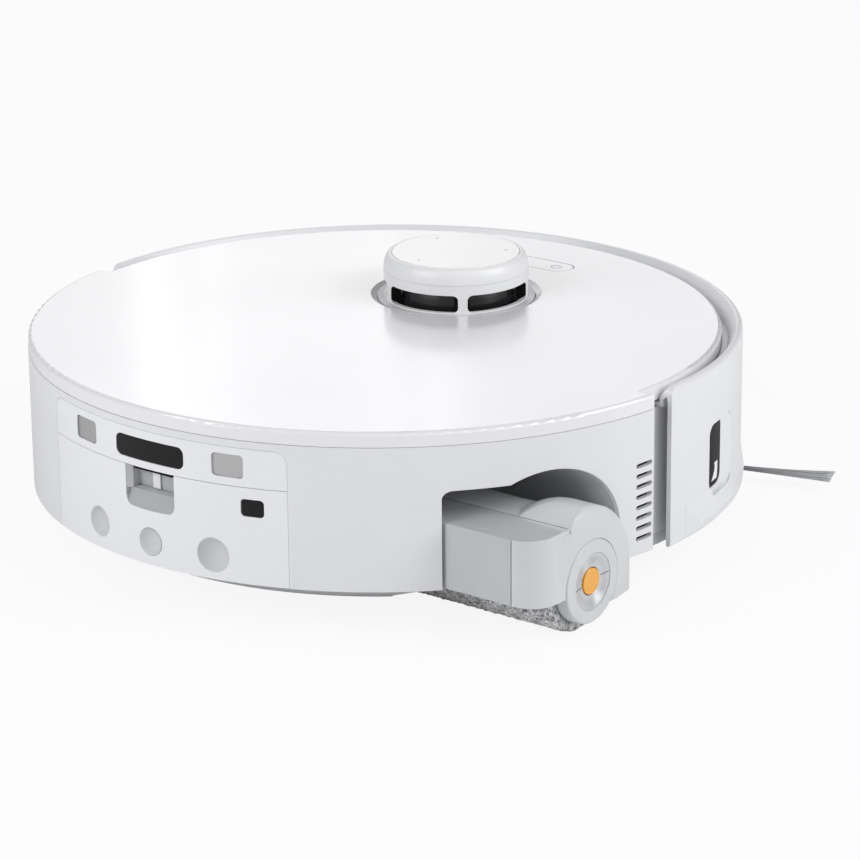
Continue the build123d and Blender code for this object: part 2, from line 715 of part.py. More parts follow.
def lidar_belt():
    """Flat belt round rotor and motor pulley."""
    def loop(extra):
        rotor = Pos(0, turret_y) * Circle(rotor_radius - 1.5 + gap + extra)
        motor = Pos(lidar_motor_reach, turret_y) * Circle(lidar_pulley_radius + gap + extra)
        return make_hull((rotor + motor).edges())

    middle = rotor_bottom + pulley_groove / 2
    return slab(loop(belt_thickness) - loop(0), middle - 1.2, middle + 1.2)


# --- lid and power button ---------------------------------------------------------------------------------------
def lid_plan():
    return body_plan(body_radius - 0.3, lid_front_radius, wall_end_y + 0.3, lid_front_set_back)


def top_lid():
    plan = lid_plan()
    lid = slab(plan, lid_bottom, lid_top)
    lid = fillet(lid.edges().group_by(Axis.Z)[-1], lid_edge_round)
    lid -= slab(offset(plan, -lid_thickness), lid_bottom - 1, lid_top - lid_thickness)
    # conical well round the turret
    depth = lid_top - base_ring_top + 2
    lid += disc(well_radius + 2, lid_top - depth, lid_top - lid_thickness, 0, turret_y)
    mouth = base_ring_radius + gap
    lid -= Pos(0, turret_y, 0) * turned([(0, 0), (mouth, 0), (mouth, base_ring_top - 1),
                                         (well_radius, lid_top + 0.001), (well_radius, lid_top + 1), (0, lid_top + 1)])
    # hole and guide of the power button
    lid += slab(Pos(0, button_y) * SlotOverall(button_length + 5, button_width + 5), lid_top - 5,
                lid_top - lid_thickness)
    lid -= slab(Pos(0, button_y) * SlotOverall(button_length + 2 * gap, button_width + 2 * gap), 0, lid_top + 1)
    return lid


def power_button():
    body = slab(Pos(0, button_y) * SlotOverall(button_length, button_width), lid_top - 5 - seam, lid_top)
    body = fillet(body.edges().group_by(Axis.Z)[-1], 0.6)
    body += slab(Pos(0, button_y) * SlotOverall(button_length + 3, button_width + 3), lid_top - 6.4,
                 lid_top - 5 - seam)
    return body + disc(3, deck_top + gap + button_travel, lid_top - 6, 0, button_y)


# --- bumper -----------------------------------------------------------------------------------------------------
def bumper_section(flare):
    """Section of the bumper, in (radius, z), its lower lip standing out by flare."""
    out, inn = body_radius, inner_radius
    foot = bumper_slope_foot
    flange = deck_top + gap
    points = [
        (out, lid_top), (out - bumper_crown_width, lid_top), (foot, seam_height + 0.6), (foot, flange + 2),
        (frame_inner + 0.4, flange + 2), (frame_inner + 0.4, flange), (foot + 2, flange),
        (foot + 2, seam_height), (inn - 0.6, lid_top - 5), (inn, lid_top - 8),
        (inn, bumper_lip_top), (inn + flare * 0.6, bumper_bottom + 8), (inn, bumper_bottom + 1),
        (inn + 0.8, bumper_bottom), (out, bumper_bottom + 1.2), (out + flare * 0.75, bumper_bottom + 2.6),
        (out + flare, bumper_bottom + 6), (out + flare * 0.55, bumper_bottom + 11), (out, bumper_lip_top)]
    if not flare:
        points = points[:11] + [(inn, bumper_bottom + 1), (inn + 0.8, bumper_bottom), (out, bumper_bottom + 1.2)]
    face = make_face(Polyline(*points, close=True))
    top = face.vertices().group_by(Axis.Y)[-1].sort_by(Axis.X)
    face = fillet(top[-1], bumper_edge_round)
    crown = face.vertices().group_by(Axis.Y)[-1].sort_by(Axis.X)[0]
    return fillet(crown, 0.4 * bumper_edge_round)


def bumper_shell():
    lipped = revolve(Plane.XZ * bumper_section(bumper_lip_flare), Axis.Z) & front_half(bumper_lip_start_y)
    # the lip grows from nothing at its rear ends
    start, full = bumper_lip_start_y, bumper_lip_start_y + bumper_lip_fade
    clear = body_radius + bumper_lip_flare
    fade = slab(make_face(Polyline((body_radius, start), (sqrt(clear**2 - full**2), full), (clear + 5, full),
                                   (clear + 5, start), close=True)), 0, bumper_lip_top)
    for wedge in near_wheels(fade).values():
        lipped -= wedge
    plain = revolve(Plane.XZ * bumper_section(0), Axis.Z) & front_half(bumper_end_y)
    shell = lipped + (plain & rear_half(bumper_lip_start_y))
    # rounded upper corners at its rear ends
    outline = rect(bumper_end_y, 2 * body_radius, -2 * bumper_corner, lid_top, bumper_corner)
    shell &= prism_x(outline, -2 * body_radius, 2 * body_radius)
    # thicker wall behind the side window, then its opening and the slope in front of it
    y0, y1, z0, z1 = side_window
    backing = ring(inner_radius - 2.2, inner_radius + wall / 2, z0 - 7, z1 + 4)
    shell += backing & block(0, body_radius, y0 - 5, y1 + side_window_bevel + 4, 0, seam_height)
    shell -= prism_x(side_window_section(0), body_radius / 2, 2 * body_radius)
    shell -= side_window_slope()
    # window of the front sensors
    half, z0, z1 = front_window
    shell -= prism_y(rect(-half, half, z0, z1, 7), body_radius / 2, 2 * body_radius)
    return shell


def side_window_section(inset):
    """Window in the bumper's right side, in (y, z)."""
    y0, y1, z0, z1 = side_window
    return rect(y0 + inset, y1 - inset, z0 + inset, z1 - inset, 5.5 - inset)


def side_window_slope():
    """Wedge cut away in front of the side window, from its glass out to the bumper's surface."""
    y0, y1, z0, z1 = side_window
    y2 = y1 + side_window_bevel
    deep = body_radius - side_window_depth
    near = (sqrt(deep**2 - y1**2), y1)
    far = (sqrt(body_radius**2 - y2**2), y2)
    foot = (sqrt(deep**2 - y0**2) - 0.2, y0 + 4)
    low = z0 - 2.5
    wedge = slab(make_face(Polyline(foot, near, far, (body_radius + 5, y2), (body_radius + 5, y0 + 4), close=True)),
                 low, z1)
    return wedge & prism_x(rect(y0, y2, low, z1, 5.5), body_radius / 2, 2 * body_radius)


def side_sensor_window():
    skin = ring(body_radius - side_window_depth - 1.6, body_radius - side_window_depth - 0.2, 0, seam_height)
    return skin & prism_x(side_window_section(seam), body_radius / 2, 2 * body_radius)


def front_sensor_window():
    half, z0, z1 = front_window
    outline = rect(-half + seam, half - seam, z0 + seam, z1 - seam, 7 - seam)
    skin = ring(inner_radius, body_radius - 0.2, 0, seam_height)
    return skin & prism_y(outline, body_radius / 2, 2 * body_radius)


# --- water tank -------------------------------------------------------------------------------------------------
def water_tank():
    side = panel_half - seam
    z0, z1 = wall_bottom + seam, strip_bottom - seam
    plan = Circle(body_radius) & rect(-side, side, -2 * body_radius, tank_back)
    tank = slab(plan, z0, z1)
    # the body behind the front panel is narrower than the panel
    front = ring(body_radius - panel_depth, 2 * body_radius, 0, lid_top)
    trim = block(-2 * side, 2 * side, -2 * body_radius, 0, pan_bottom, lid_top)
    trim -= block(-side + 2, side - 2, -2 * body_radius, 0, pan_rim_top + seam, z1 - 1)
    tank -= trim - front
    # recess of the latch, with a scooped lip below it
    tank -= block(-latch_half, latch_half, -2 * body_radius, -body_radius + latch_depth, latch_ledge, z1 + 1)
    tank -= latch_scoop()
    # dished ports
    for x, z, rim in tank_ports:
        depth = 0.48 * rim
        ball = (rim**2 + depth**2) / (2 * depth)
        y = -sqrt(body_radius**2 - x**2)
        scale = 1 / body_radius
        out = Vector(x, y, 0) * scale * (ball - depth)
        tank -= Pos(x + out.X, y + out.Y, z) * Sphere(ball)
    x0, x1, z0w, z1w = tank_window
    tank -= prism_y(rect(x0, x1, z0w, z1w, 2.0), -2 * body_radius, -body_radius + 16)
    return tank


def latch_scoop():
    """Hollow under the latch: deepest at the ledge, running out at the recess's rounded lower edge."""
    height = latch_ledge - latch_bottom
    radius = (height**2 + latch_lip_depth**2) / (2 * latch_lip_depth)
    outline = rect(-latch_half, latch_half, latch_bottom, latch_ledge + latch_round)
    corners = outline.vertices().group_by(Axis.Y)[0]
    outline = fillet(corners, latch_round)
    # a cylinder along X whose lowest reach is the panel's surface at the recess's foot
    scoop = bar(radius, -latch_half - 1, latch_half + 1, -body_radius + latch_lip_depth - radius, latch_ledge)
    return scoop & prism_y(outline, -2 * body_radius, -body_radius + latch_depth) & block(
        -latch_half, latch_half, -2 * body_radius, 0, latch_bottom, latch_ledge + 0.01)


def tank_sensor_window():
    x0, x1, z0, z1 = tank_window
    outline = rect(x0 + seam, x1 - seam, z0 + seam, z1 - seam, 2.0 - seam)
    return inlay(outline, body_radius - panel_depth, body_radius - 0.4)


def tank_latch():
    """Sprung tab in the recess, pressed inwards, with a rib down its middle."""
    face = -body_radius + latch_face_depth
    half = latch_half - gap
    top = strip_bottom - seam - 2.4
    bottom = latch_ledge + gap
    tab = block(-half, half, face, face + 3.6, bottom, top)
    # folded edge on its left side
    tab += block(-half, -half + 1.6, face - 3, face + 1, bottom, top)
    return tab + block(-3.6, 1.2, face - 0.8, face + 1, bottom, top)


# --- mop module -------------------------------------------------------------------------------------------------
def hood_profile(extra=0.0):
    """Outer outline of the hood, in (x, radius), widening to its right end."""
    wide = flare_radius + extra
    rise = Spline((flare_start, hood_radius + extra), (flare_start + 6.2, hood_radius + extra + 2.3),
                  (flare_end, wide), tangents=[(1, 0), (1, 0)])
    left = roller_left - 8
    rest = Polyline((flare_end, wide), (module_end - end_draft, wide), (module_end, cap_radius), (module_end, 0),
                    (left, 0), (left, hood_radius + extra), (flare_start, hood_radius + extra))
    face = make_face(rise + rest)
    edge = face.vertices().group_by(Axis.Y)[-1].sort_by(Axis.X)[-1]
    return fillet(edge, end_round)


def hood_body(extra=0.0):
    """The hood's outer shape turned about the roller's axis."""
    plane = Plane(origin=(0, roller_y, roller_z), x_dir=(1, 0, 0), z_dir=(0, -1, 0))
    return revolve(plane * hood_profile(extra), Axis((0, roller_y, roller_z), (1, 0, 0)))


def end_corner(inset=0.0):
    """Rear corner of the wide end; it leans in towards its top."""
    sections = []
    for z, lean in ((module_bottom, 0.0), (plate_top, end_draft)):
        face = rect(box_right - 5, module_end - lean - inset, module_rear + inset, roller_y)
        corner = face.vertices().sort_by(lambda v: v.Y - v.X)[0]
        sections.append(Pos(0, 0, z) * fillet(corner, corner_radius - inset))
    return loft(sections)


def plate_seat(inset, front, z0, z1):
    """The plate's outline between two heights, drawn in from the module's sides."""
    seat = block(box_left - 1, box_right, module_rear + inset, front, z0, z1)
    return seat + (end_corner(inset) & block(box_right - 1, module_end, module_rear, front, z0, z1))


def mop_hood():
    """Hood over the roller, with its wide end, rear corner and front skirt."""
    left = roller_left - 8
    outside = module_end + 1
    above = block(left - 1, outside, roller_y - 50, roller_y + 50, roller_z, seam_height)
    shade = hood_body() & above
    # behind the crown the wide end rolls down to the plate
    behind = block(left - 1, outside, roller_y - 50, roller_y, roller_z, seam_height)
    rolled = bar(shoulder_radius, left - 1, outside, roller_y, flare_crown - shoulder_radius)
    rolled += block(left - 1, outside, roller_y - 50, roller_y, 0, plate_top)
    shade -= behind - rolled
    shade += block(left, box_right, plate_front + seam, roller_y, roller_z, plate_top)
    shade -= block(left - 1, outside, roller_y - 60, plate_front + seam, plate_bottom - seam, seam_height)
    # front skirt, straight down from the widest line
    skirt = slab(Pos(0, roller_y) * hood_profile(), module_front_bottom, roller_z)
    skirt -= block(left - 1, flare_start, roller_y - 1, roller_y + 60, 0, skirt_bottom)
    # rear corner of the wide end, with the plate's seat in its top
    corner = end_corner() & block(box_right + module_seam, outside, module_rear, roller_y, 0, plate_top)
    corner += end_corner() & block(box_right, outside, plate_front + seam, roller_y, roller_z, plate_top)
    corner -= plate_seat(plate_rim, plate_front + seam, plate_bottom - seam, plate_top + 1)
    hood = shade + skirt + corner
    # room for the roller
    hood -= bar(hood_inner, left + 2.5, roller_right + gap, roller_y, roller_z)
    hood -= block(left + 2.5, roller_right + gap, roller_y - hood_inner, roller_y + hood_inner, 0, roller_z)
    hood -= bar(cap_radius + seam, roller_right, outside, roller_y, roller_z)
    hood -= bar(6, left - 1, left + 3, roller_y, roller_z)
    return hood


def mop_rear_box():
    """Channel for the dirty water behind the hood."""
    left, right = box_left, box_right
    box = block(left, right, module_rear, plate_front, roller_z, plate_top)
    box += block(left, right, module_rear, roller_y - hood_radius - 2, module_bottom, roller_z)
    box -= plate_seat(plate_rim, plate_front + 1, plate_bottom - seam, plate_top + 1)
    box -= hood_body(seam)
    for x in pin_x:
        box -= disc(pin_radius + running, module_bottom + 4.5, seam_height, x, pin_y)
    return box


def mop_top_plate():
    """Polished plate let into the module's rear top."""
    plate = plate_seat(plate_rim + seam, plate_front, plate_bottom, plate_top)
    plate -= block(box_left - 2, box_left, module_rear, plate_front, 0, seam_height)
    for x in pin_x:
        plate -= disc(pin_radius + running, 0, seam_height, x, pin_y)
    return plate


def mop_end_cap():
    """Round cap that carries the roller's outer end."""
    x0, x1 = roller_right + gap, module_end + 0.5
    cap = bar(cap_radius, x0, x1, roller_y, roller_z)
    cap = fillet(cap.edges().filter_by(GeomType.CIRCLE).sort_by(Axis.X)[-1], 1.2)
    cap -= bar(dish_radius + seam, x1 - 2.6, x1 + 1, roller_y, roller_z)
    cap -= bar(release_radius + gap, x1 - 4.6, x1, roller_y, roller_z)
    cap -= bar(4 + running, x0 - 1, x1, roller_y, roller_z)
    return cap


def mop_dish():
    """Polished conical ring round the release button."""
    x1 = module_end + 0.5
    hole = release_radius + gap
    outline = [(x1 - 2.5, hole), (x1 - 2.5, dish_radius), (x1 - 0.2, dish_radius), (x1 - 0.2, dish_radius - 0.6),
               (x1 - 1.2, hole)]
    plane = Plane(origin=(0, roller_y, roller_z), x_dir=(1, 0, 0), z_dir=(0, -1, 0))
    return revolve(plane * make_face(Polyline(*outline, close=True)), Axis((0, roller_y, roller_z), (1, 0, 0)))


def release_button():
    x1 = module_end + 0.5
    head = bar(release_radius, x1 - 2.4, x1 - 0.6, roller_y, roller_z)
    head = fillet(head.edges().filter_by(GeomType.CIRCLE).sort_by(Axis.X)[-1], 0.5)
    return head


def roller_core():
    """Tube under the cloth, with its end discs and outer stub."""
    x0, x1 = roller_left, roller_right
    core = bar(roller_core_radius, x0, x1, roller_y, roller_z)
    core -= bar(roller_core_radius - 3, x0 + 8, x1 - 4, roller_y, roller_z)
    core -= bar(4 + running, x0 - 1, x0 + 9, roller_y, roller_z)
    return core + bar(4, x1 - 4, module_end - 4.4, roller_y, roller_z)


def roller_cloth():
    x0, x1 = roller_left, roller_right
    return (bar(roller_radius, x0, x1, roller_y, roller_z)
            - bar(roller_core_radius + seam / 3, x0 - 1, x1 + 1, roller_y, roller_z))


def roller_motor():
    """Gear motor at the roller's inner end."""
    x1 = roller_left - 8
    motor = bar(10, x1 - 16, x1 - seam, roller_y, roller_z)
    motor += bar(5.6, x1 - 1, x1 + 2, roller_y, roller_z)
    return motor + bar(4, x1, roller_left + 7, roller_y, roller_z)


def scraper_blade():
    y0 = roller_y - hood_radius - 2 + seam
    y1 = roller_y - roller_radius - gap
    blade = block(roller_left + 2, roller_right - 12, y0, y1, module_bottom + 0.3, module_bottom + 2.2)
    return blade


def mop_carriage():
    """Plate on the guide rods; its two pins guide the module as it lifts."""
    x0, x1 = carriage_x - carriage_half, carriage_x + carriage_half
    plate = block(x0, x1, pin_y - pin_radius - 2, guide_rod_y[1] + 3, rod_z - 1.4, rod_z + 1.4)
    for y in guide_rod_y:
        plate += bar(guide_rod_radius + 1.5, x0, x1, y, rod_z)
    for y in guide_rod_y:
        plate -= bar(guide_rod_radius + running, x0 - 1, x1 + 1, y, rod_z)
    middle = sum(guide_rod_y) / 2
    plate -= block(x0 + 14, x1 - 14, middle - 9, middle + 9, 0, lid_top)
    for x in pin_x:
        plate += disc(pin_radius, module_bottom + 4.5 + mop_lift + gap, rod_z, x, pin_y)
    return plate


# --- drive wheel ------------------------------------------------------------------------------------------------
def swing_arm():
    """Right gearbox arm from its pivot to the axle."""
    x0, x1 = arm_inner, arm_inner + arm_thickness
    profile = make_hull((Pos(arm_pivot_y, arm_pivot_z) * Circle(9) + Pos(wheel_y, wheel_radius) * Circle(13)).edges())
    arm = prism_x(profile, x0, x1)
    arm -= bar(2.5 + running, x0 - 1, x1 + 1, arm_pivot_y, arm_pivot_z)
    arm += bar(4, x1 - 1, wheel_outer - 3, wheel_y, wheel_radius)
    return arm


def wheel_hub():
    """Right hub: rim, web with five holes, bore."""
    inner, outer = wheel_inner, wheel_outer
    rim = wheel_radius - tyre_depth
    hub = bar(rim, inner, outer, wheel_y, wheel_radius)
    hub -= bar(rim - 3, inner - 1, inner + 5, wheel_y, wheel_radius)
    hub -= bar(rim - 3, outer - 3, outer + 1, wheel_y, wheel_radius)
    hub += bar(8, inner, outer - 1, wheel_y, wheel_radius)
    for k in range(5):
        angle = radians(90 + 72 * k)
        y, z = wheel_y + 18 * cos(angle), wheel_radius + 18 * sin(angle)
        hub -= bar(5, inner, outer, y, z)
    return hub - bar(4 + running, inner - 1, outer - 2.5, wheel_y, wheel_radius)


def wheel_tyre():
    """Right tyre with blocky tread."""
    lug = 1.6
    tyre = bar(wheel_radius - lug, wheel_inner, wheel_outer, wheel_y, wheel_radius)
    lugs = 18
    for k in range(lugs):
        angle = 360 / lugs * k
        piece = Pos((wheel_inner + wheel_outer) / 2, 0, wheel_radius - lug / 2) * Box(
            wheel_outer - wheel_inner, 5.6, lug + 1)
        tyre += Pos(0, wheel_y, wheel_radius) * Rot(angle, 0, 0) * piece
    tyre &= bar(wheel_radius, wheel_inner, wheel_outer, wheel_y, wheel_radius)
    return tyre - bar(wheel_radius - tyre_depth, wheel_inner - 1, wheel_outer + 1, wheel_y, wheel_radius)


# --- caster -----------------------------------------------------------------------------------------------------
def caster_fork():
    top = 2 * caster_radius
    axle_y = caster_y - caster_trail
    fork = disc(16, top + 2, top + 7, 0, caster_y)
    fork += disc(5, top + 6, top + 12, 0, caster_y)
    for side in (-1, 1):
        x0, x1 = sorted((side * (caster_width / 2 + gap), side * (caster_width / 2 + gap + 2.4)))
        cheek = make_hull((Pos(axle_y, caster_radius) * Circle(5)
                           + rect(caster_y - 9, caster_y + 9, top + 1, top + 3)).edges())
        fork += prism_x(cheek, x0, x1)
    reach = caster_width / 2 + gap + 2.4
    return fork + bar(2, -reach, reach, axle_y, caster_radius)


def caster_wheel():
    axle_y = caster_y - caster_trail
    half = caster_width / 2
    wheel = bar(caster_radius, -half, half, axle_y, caster_radius)
    wheel = fillet(wheel.edges().filter_by(GeomType.CIRCLE), 2.5)
    return wheel - bar(2 + running, -half - 1, half + 1, axle_y, caster_radius)


# --- brushes ----------------------------------------------------------------------------------------------------
def main_brush():
    """Core with two mirrored sets of helical fins, and stub shafts."""
    core = bar(brush_core_radius, -brush_half, brush_half, brush_y, brush_z)
    steps = 4
    root = brush_core_radius - 1.5
    for half in (-1, 1):
        for k in range(fin_count):
            sections = []
            for s in range(steps + 1):
                along = s / steps
                turn = 360 / fin_count * k + fin_twist * along
                fin = Pos((root + brush_radius) / 2, 0) * Rectangle(brush_radius - root, fin_thickness)
                plane = Plane(origin=(half * brush_half * along, brush_y, brush_z), x_dir=(0, 1, 0), z_dir=(1, 0, 0))
                sections.append(plane * Rot(0, 0, turn) * fin)
            core += loft(sections)
    core &= bar(brush_radius, -brush_half, brush_half, brush_y, brush_z)
    return core + bar(3, -brush_half - 6.6, brush_half + 6.6, brush_y, brush_z)


def side_brush_hub():
    x, y = side_brush
    hub = disc(9.5, 4.5, pan_bottom - gap, x, y)
    hub = fillet(hub.edges().group_by(Axis.Z)[0], 2.0)
    for angle in side_brush_angles():
        neck = block(7, 26, -2.2, 2.2, 5.2, 8.6)
        hub += Pos(x, y, 0) * Rot(0, 0, angle) * neck
    return hub + disc(3, pan_bottom - 1, pan_top + 10, x, y)


def side_brush_angles():
    return [side_brush_angle + 360 / side_brush_arms * k for k in range(side_brush_arms)]


def side_brush_bristles():
    """A flat tuft at the end of each arm, spreading and drooping to its tip."""
    x, y = side_brush
    tufts = []
    for angle in side_brush_angles():
        near = Plane(origin=(26 + seam, 0, 6.9), x_dir=(0, 1, 0), z_dir=(1, 0, 0)) * Rectangle(3.2, 2.2)
        middle = Plane(origin=(50, 0, 6.1), x_dir=(0, 1, 0), z_dir=(1, 0, 0)) * Rectangle(4.6, 2.0)
        far = Plane(origin=(side_brush_reach, 0, 6.3), x_dir=(0, 1, 0), z_dir=(1, 0, 0)) * Rectangle(8.0, 1.8)
        tufts.append(Pos(x, y, 0) * Rot(0, 0, angle) * loft([near, middle, far]))
    return tufts


def fan_impeller():
    x, y = fan
    radius = fan_radius - 4
    z0, z1 = 45.0, 55.0
    wheel = disc(radius, z0, z0 + 1.6, x, y) + disc(5, z0, z1, x, y)
    for k in range(9):
        blade = block(4, radius - 0.5, -0.7, 0.7, z0 + 1, z1 - 2)
        wheel += Pos(x, y, 0) * Rot(0, 0, 40 * k) * blade
    return wheel - disc(2 + running, 0, z1 + 1, x, y)


# --- writing the sub-parts --------------------------------------------------------------------------------------
def save(name, shape):
    """Writes one sub-part; a list becomes one node of separate solids."""
    if isinstance(shape, list):
        shape = Compound(children=[s for piece in shape for s in piece.solids()])
    export_step(shape, f"parts/{name}.step")


def main():
    os.makedirs("parts", exist_ok=True)
    pieces = [
        chassis_pan, chassis_screws, cliff_windows, side_wall, front_frame, inner_deck, rear_sensor_strip,
        rear_ir_window, charging_contacts, mop_bay_liner, mop_guide_rods, main_brush_housing, main_brush_cover,
        battery_pack, main_circuit_board, fan_housing, exhaust_duct, dustbin, dustbin_lid, dust_filter, lidar_base,
        turret_cap, turret_top_disc,
        lidar_rotor, lidar_motor, lidar_motor_pulley, lidar_belt, top_lid, power_button, bumper_shell,
        side_sensor_window, front_sensor_window, water_tank, tank_sensor_window, tank_latch, mop_hood, mop_rear_box,
        mop_top_plate, mop_end_cap, mop_dish, release_button, roller_core, roller_cloth, roller_motor, scraper_blade,
        mop_carriage, caster_fork, caster_wheel, main_brush, side_brush_hub, side_brush_bristles, fan_impeller]
    for piece in pieces:
        save(piece.__name__, piece())
    for name, piece in (("wheel_well", wheel_well() + suspension_pivot()), ("swing_arm", swing_arm()),
                        ("wheel_hub", wheel_hub()), ("wheel_tyre", wheel_tyre())):
        for side, shape in near_wheels(piece).items():
            save(f"{side}_{name}", shape)


main()
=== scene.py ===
"""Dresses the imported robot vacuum.

Gives each CAD node its finish, and adds the cloth, bristles, linings and prints that CAD leaves out.
"""

from __future__ import annotations

import logging
import math
import random
from dataclasses import dataclass
from enum import Enum
from typing import Iterable

import bmesh
import bpy
from bmesh.types import BMesh, BMVert
from bpy.types import ID, Material, Mesh, Node, NodeSocket, NodeTree, Object
from mathutils import Matrix, Vector, noise
from mathutils.bvhtree import BVHTree


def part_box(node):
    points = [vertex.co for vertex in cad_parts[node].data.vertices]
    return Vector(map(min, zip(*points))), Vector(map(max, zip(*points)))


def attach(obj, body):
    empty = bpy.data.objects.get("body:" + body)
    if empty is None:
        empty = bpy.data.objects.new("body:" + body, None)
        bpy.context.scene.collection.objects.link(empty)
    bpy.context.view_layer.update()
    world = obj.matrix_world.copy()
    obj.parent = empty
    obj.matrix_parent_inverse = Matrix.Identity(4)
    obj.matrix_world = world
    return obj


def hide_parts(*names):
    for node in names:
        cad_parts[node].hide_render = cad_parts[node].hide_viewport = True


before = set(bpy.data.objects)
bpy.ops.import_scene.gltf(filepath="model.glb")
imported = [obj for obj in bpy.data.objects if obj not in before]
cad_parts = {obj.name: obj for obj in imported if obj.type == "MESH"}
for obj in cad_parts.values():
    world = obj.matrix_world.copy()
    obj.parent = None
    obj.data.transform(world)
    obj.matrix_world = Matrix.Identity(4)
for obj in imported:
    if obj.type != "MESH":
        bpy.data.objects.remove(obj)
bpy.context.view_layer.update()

MM = 0.001
UP = Vector((0.0, 0.0, 1.0))
AHEAD = Vector((0.0, 1.0, 0.0))
RIGHT = Vector((1.0, 0.0, 0.0))
OUTSIDE = 5 * MM  # A ray starts this far outside the surface that it looks for.
SKIN = 0.04 * MM  # A lining stands this far off the solid under it.
LINE = 0.02 * MM  # A drawn line or dot is this thick.
MOP_AXIS_MM = (-77.2, 26.2)  # The roller's axis runs along X at this y and z.
BRUSH_HUB_MM = (91.0, 130.3)  # The side brush turns at this x and y.
WAVE_RADIANS = 20.0  # A wave texture of scale 1 turns by this much per metre.
log = logging.getLogger("robot_vacuum")


# --- colour and nodes ---
def linear(code: str) -> tuple[float, float, float, float]:
    """Turns an sRGB hex colour into linear RGBA.

    Args:
        code: The colour as "#RRGGBB".

    Returns:
        Linear red, green, blue and an alpha of 1.
    """
    parts = [int(code[i : i + 2], 16) / 255 for i in (1, 3, 5)]
    red, green, blue = (c / 12.92 if c <= 0.04045 else ((c + 0.055) / 1.055) ** 2.4 for c in parts)
    return red, green, blue, 1.0


def add_node(
    tree: NodeTree, kind: str, inputs: dict[str | int, object] | None = None, **settings: object
) -> Node:
    """Adds one shader node.

    Args:
        tree: The material's node tree.
        kind: The node's Blender type name.
        inputs: For each input, by name or number, a plain value or the socket that feeds it.
        **settings: Attributes of the node itself.

    Returns:
        The new node.
    """
    node = tree.nodes.new(kind)
    for name, value in settings.items():
        setattr(node, name, value)
    for name, value in (inputs or {}).items():
        if isinstance(value, NodeSocket):
            tree.links.new(value, node.inputs[name])
        else:
            node.inputs[name].default_value = value
    return node


class Ior(Enum):
    """Typical refractive indices."""

    ABS = 1.54
    POLYCARBONATE = 1.585
    RUBBER = 1.52
    NYLON = 1.53
    POLYESTER = 1.57
    PAPER = 1.50
    EPOXY = 1.55


@dataclass(frozen=True)
class Paint:
    """A material while it is wired: its tree, its Principled node and object coordinates in metres."""

    tree: NodeTree
    shader: Node
    place: NodeSocket


@dataclass(frozen=True)
class Finish:
    """A surface: its two tones, how it shines, and the relief that its making left on it.

    The pattern of the tones turns colour into tint over its span.
    """

    name: str
    colour: str
    tint: str
    roughness: float
    ior: Ior = Ior.ABS
    metallic: float = 0.0
    mottle_mm: float = 30.0
    grain_mm: float = 0.5
    relief_mm: float = 0.0
    rough_spread: float = 0.04
    gloss: float = 0.5
    span: tuple[float, float] = (0.35, 0.65)

    def material(self) -> Material:
        """Makes the material on first use.

        Returns:
            The finish's material.
        """
        made = bpy.data.materials.get(self.name)
        if made is None:
            made = bpy.data.materials.new(self.name)
            made.use_nodes = True
            tree = made.node_tree
            shader = tree.nodes["Principled BSDF"]
            if not self.metallic:
                shader.inputs["IOR"].default_value = self.ior.value
            shader.inputs["Metallic"].default_value = self.metallic
            shader.inputs["Specular IOR Level"].default_value = self.gloss
            self.surface(Paint(tree, shader, add_node(tree, "ShaderNodeTexCoord").outputs["Object"]))
        return made

    def surface(self, paint: Paint) -> None:
        """Wires cloudy tones and a moulded grain.

        Args:
            paint: The material.
        """
        cloudy = add_node(paint.tree, "ShaderNodeTexNoise",
                          {"Vector": paint.place, "Scale": 1 / (self.mottle_mm * MM), "Detail": 3.0})
        height = None
        if self.relief_mm:
            grain = add_node(paint.tree, "ShaderNodeTexNoise",
                             {"Vector": paint.place, "Scale": 1 / (self.grain_mm * MM), "Detail": 2.0})
            height = grain.outputs["Fac"]
        self.wire(paint, cloudy.outputs["Fac"], cloudy.outputs["Fac"], height)

    def wire(
        self, paint: Paint, tone: NodeSocket, wear: NodeSocket, height: NodeSocket | None = None
    ) -> None:
        """Drives colour, roughness and relief by patterns that run from 0 to 1.

        Args:
            paint: The material.
            tone: The pattern that turns colour into tint.
            wear: The pattern that spreads the roughness a little.
            height: The pattern that stands out as relief, if there is any.
        """
        ramp = add_node(paint.tree, "ShaderNodeValToRGB", {"Fac": tone})
        for end, level, code in zip(ramp.color_ramp.elements, self.span, (self.colour, self.tint)):
            end.position = level
            end.color = linear(code)
        paint.tree.links.new(ramp.outputs["Color"], paint.shader.inputs["Base Color"])
        spread = add_node(paint.tree, "ShaderNodeMapRange",
                          {"Value": wear, "To Min": self.roughness - self.rough_spread,
                           "To Max": self.roughness + self.rough_spread})
        paint.tree.links.new(spread.outputs["Result"], paint.shader.inputs["Roughness"])
        if height is not None:
            bump = add_node(paint.tree, "ShaderNodeBump",
                            {"Height": height, "Distance": self.relief_mm * MM, "Strength": 1.0})
            paint.tree.links.new(bump.outputs["Normal"], paint.shader.inputs["Normal"])


@dataclass(frozen=True)
class Lacquered(Finish):
    """Moulded plastic under a clear gloss coat."""

    coat: float = 1.0
    coat_roughness: float = 0.04

    def surface(self, paint: Paint) -> None:
        """Adds the clear coat over the plain surface.

        Args:
            paint: The material.
        """
        paint.shader.inputs["Coat Weight"].default_value = self.coat
        paint.shader.inputs["Coat Roughness"].default_value = self.coat_roughness
        super().surface(paint)


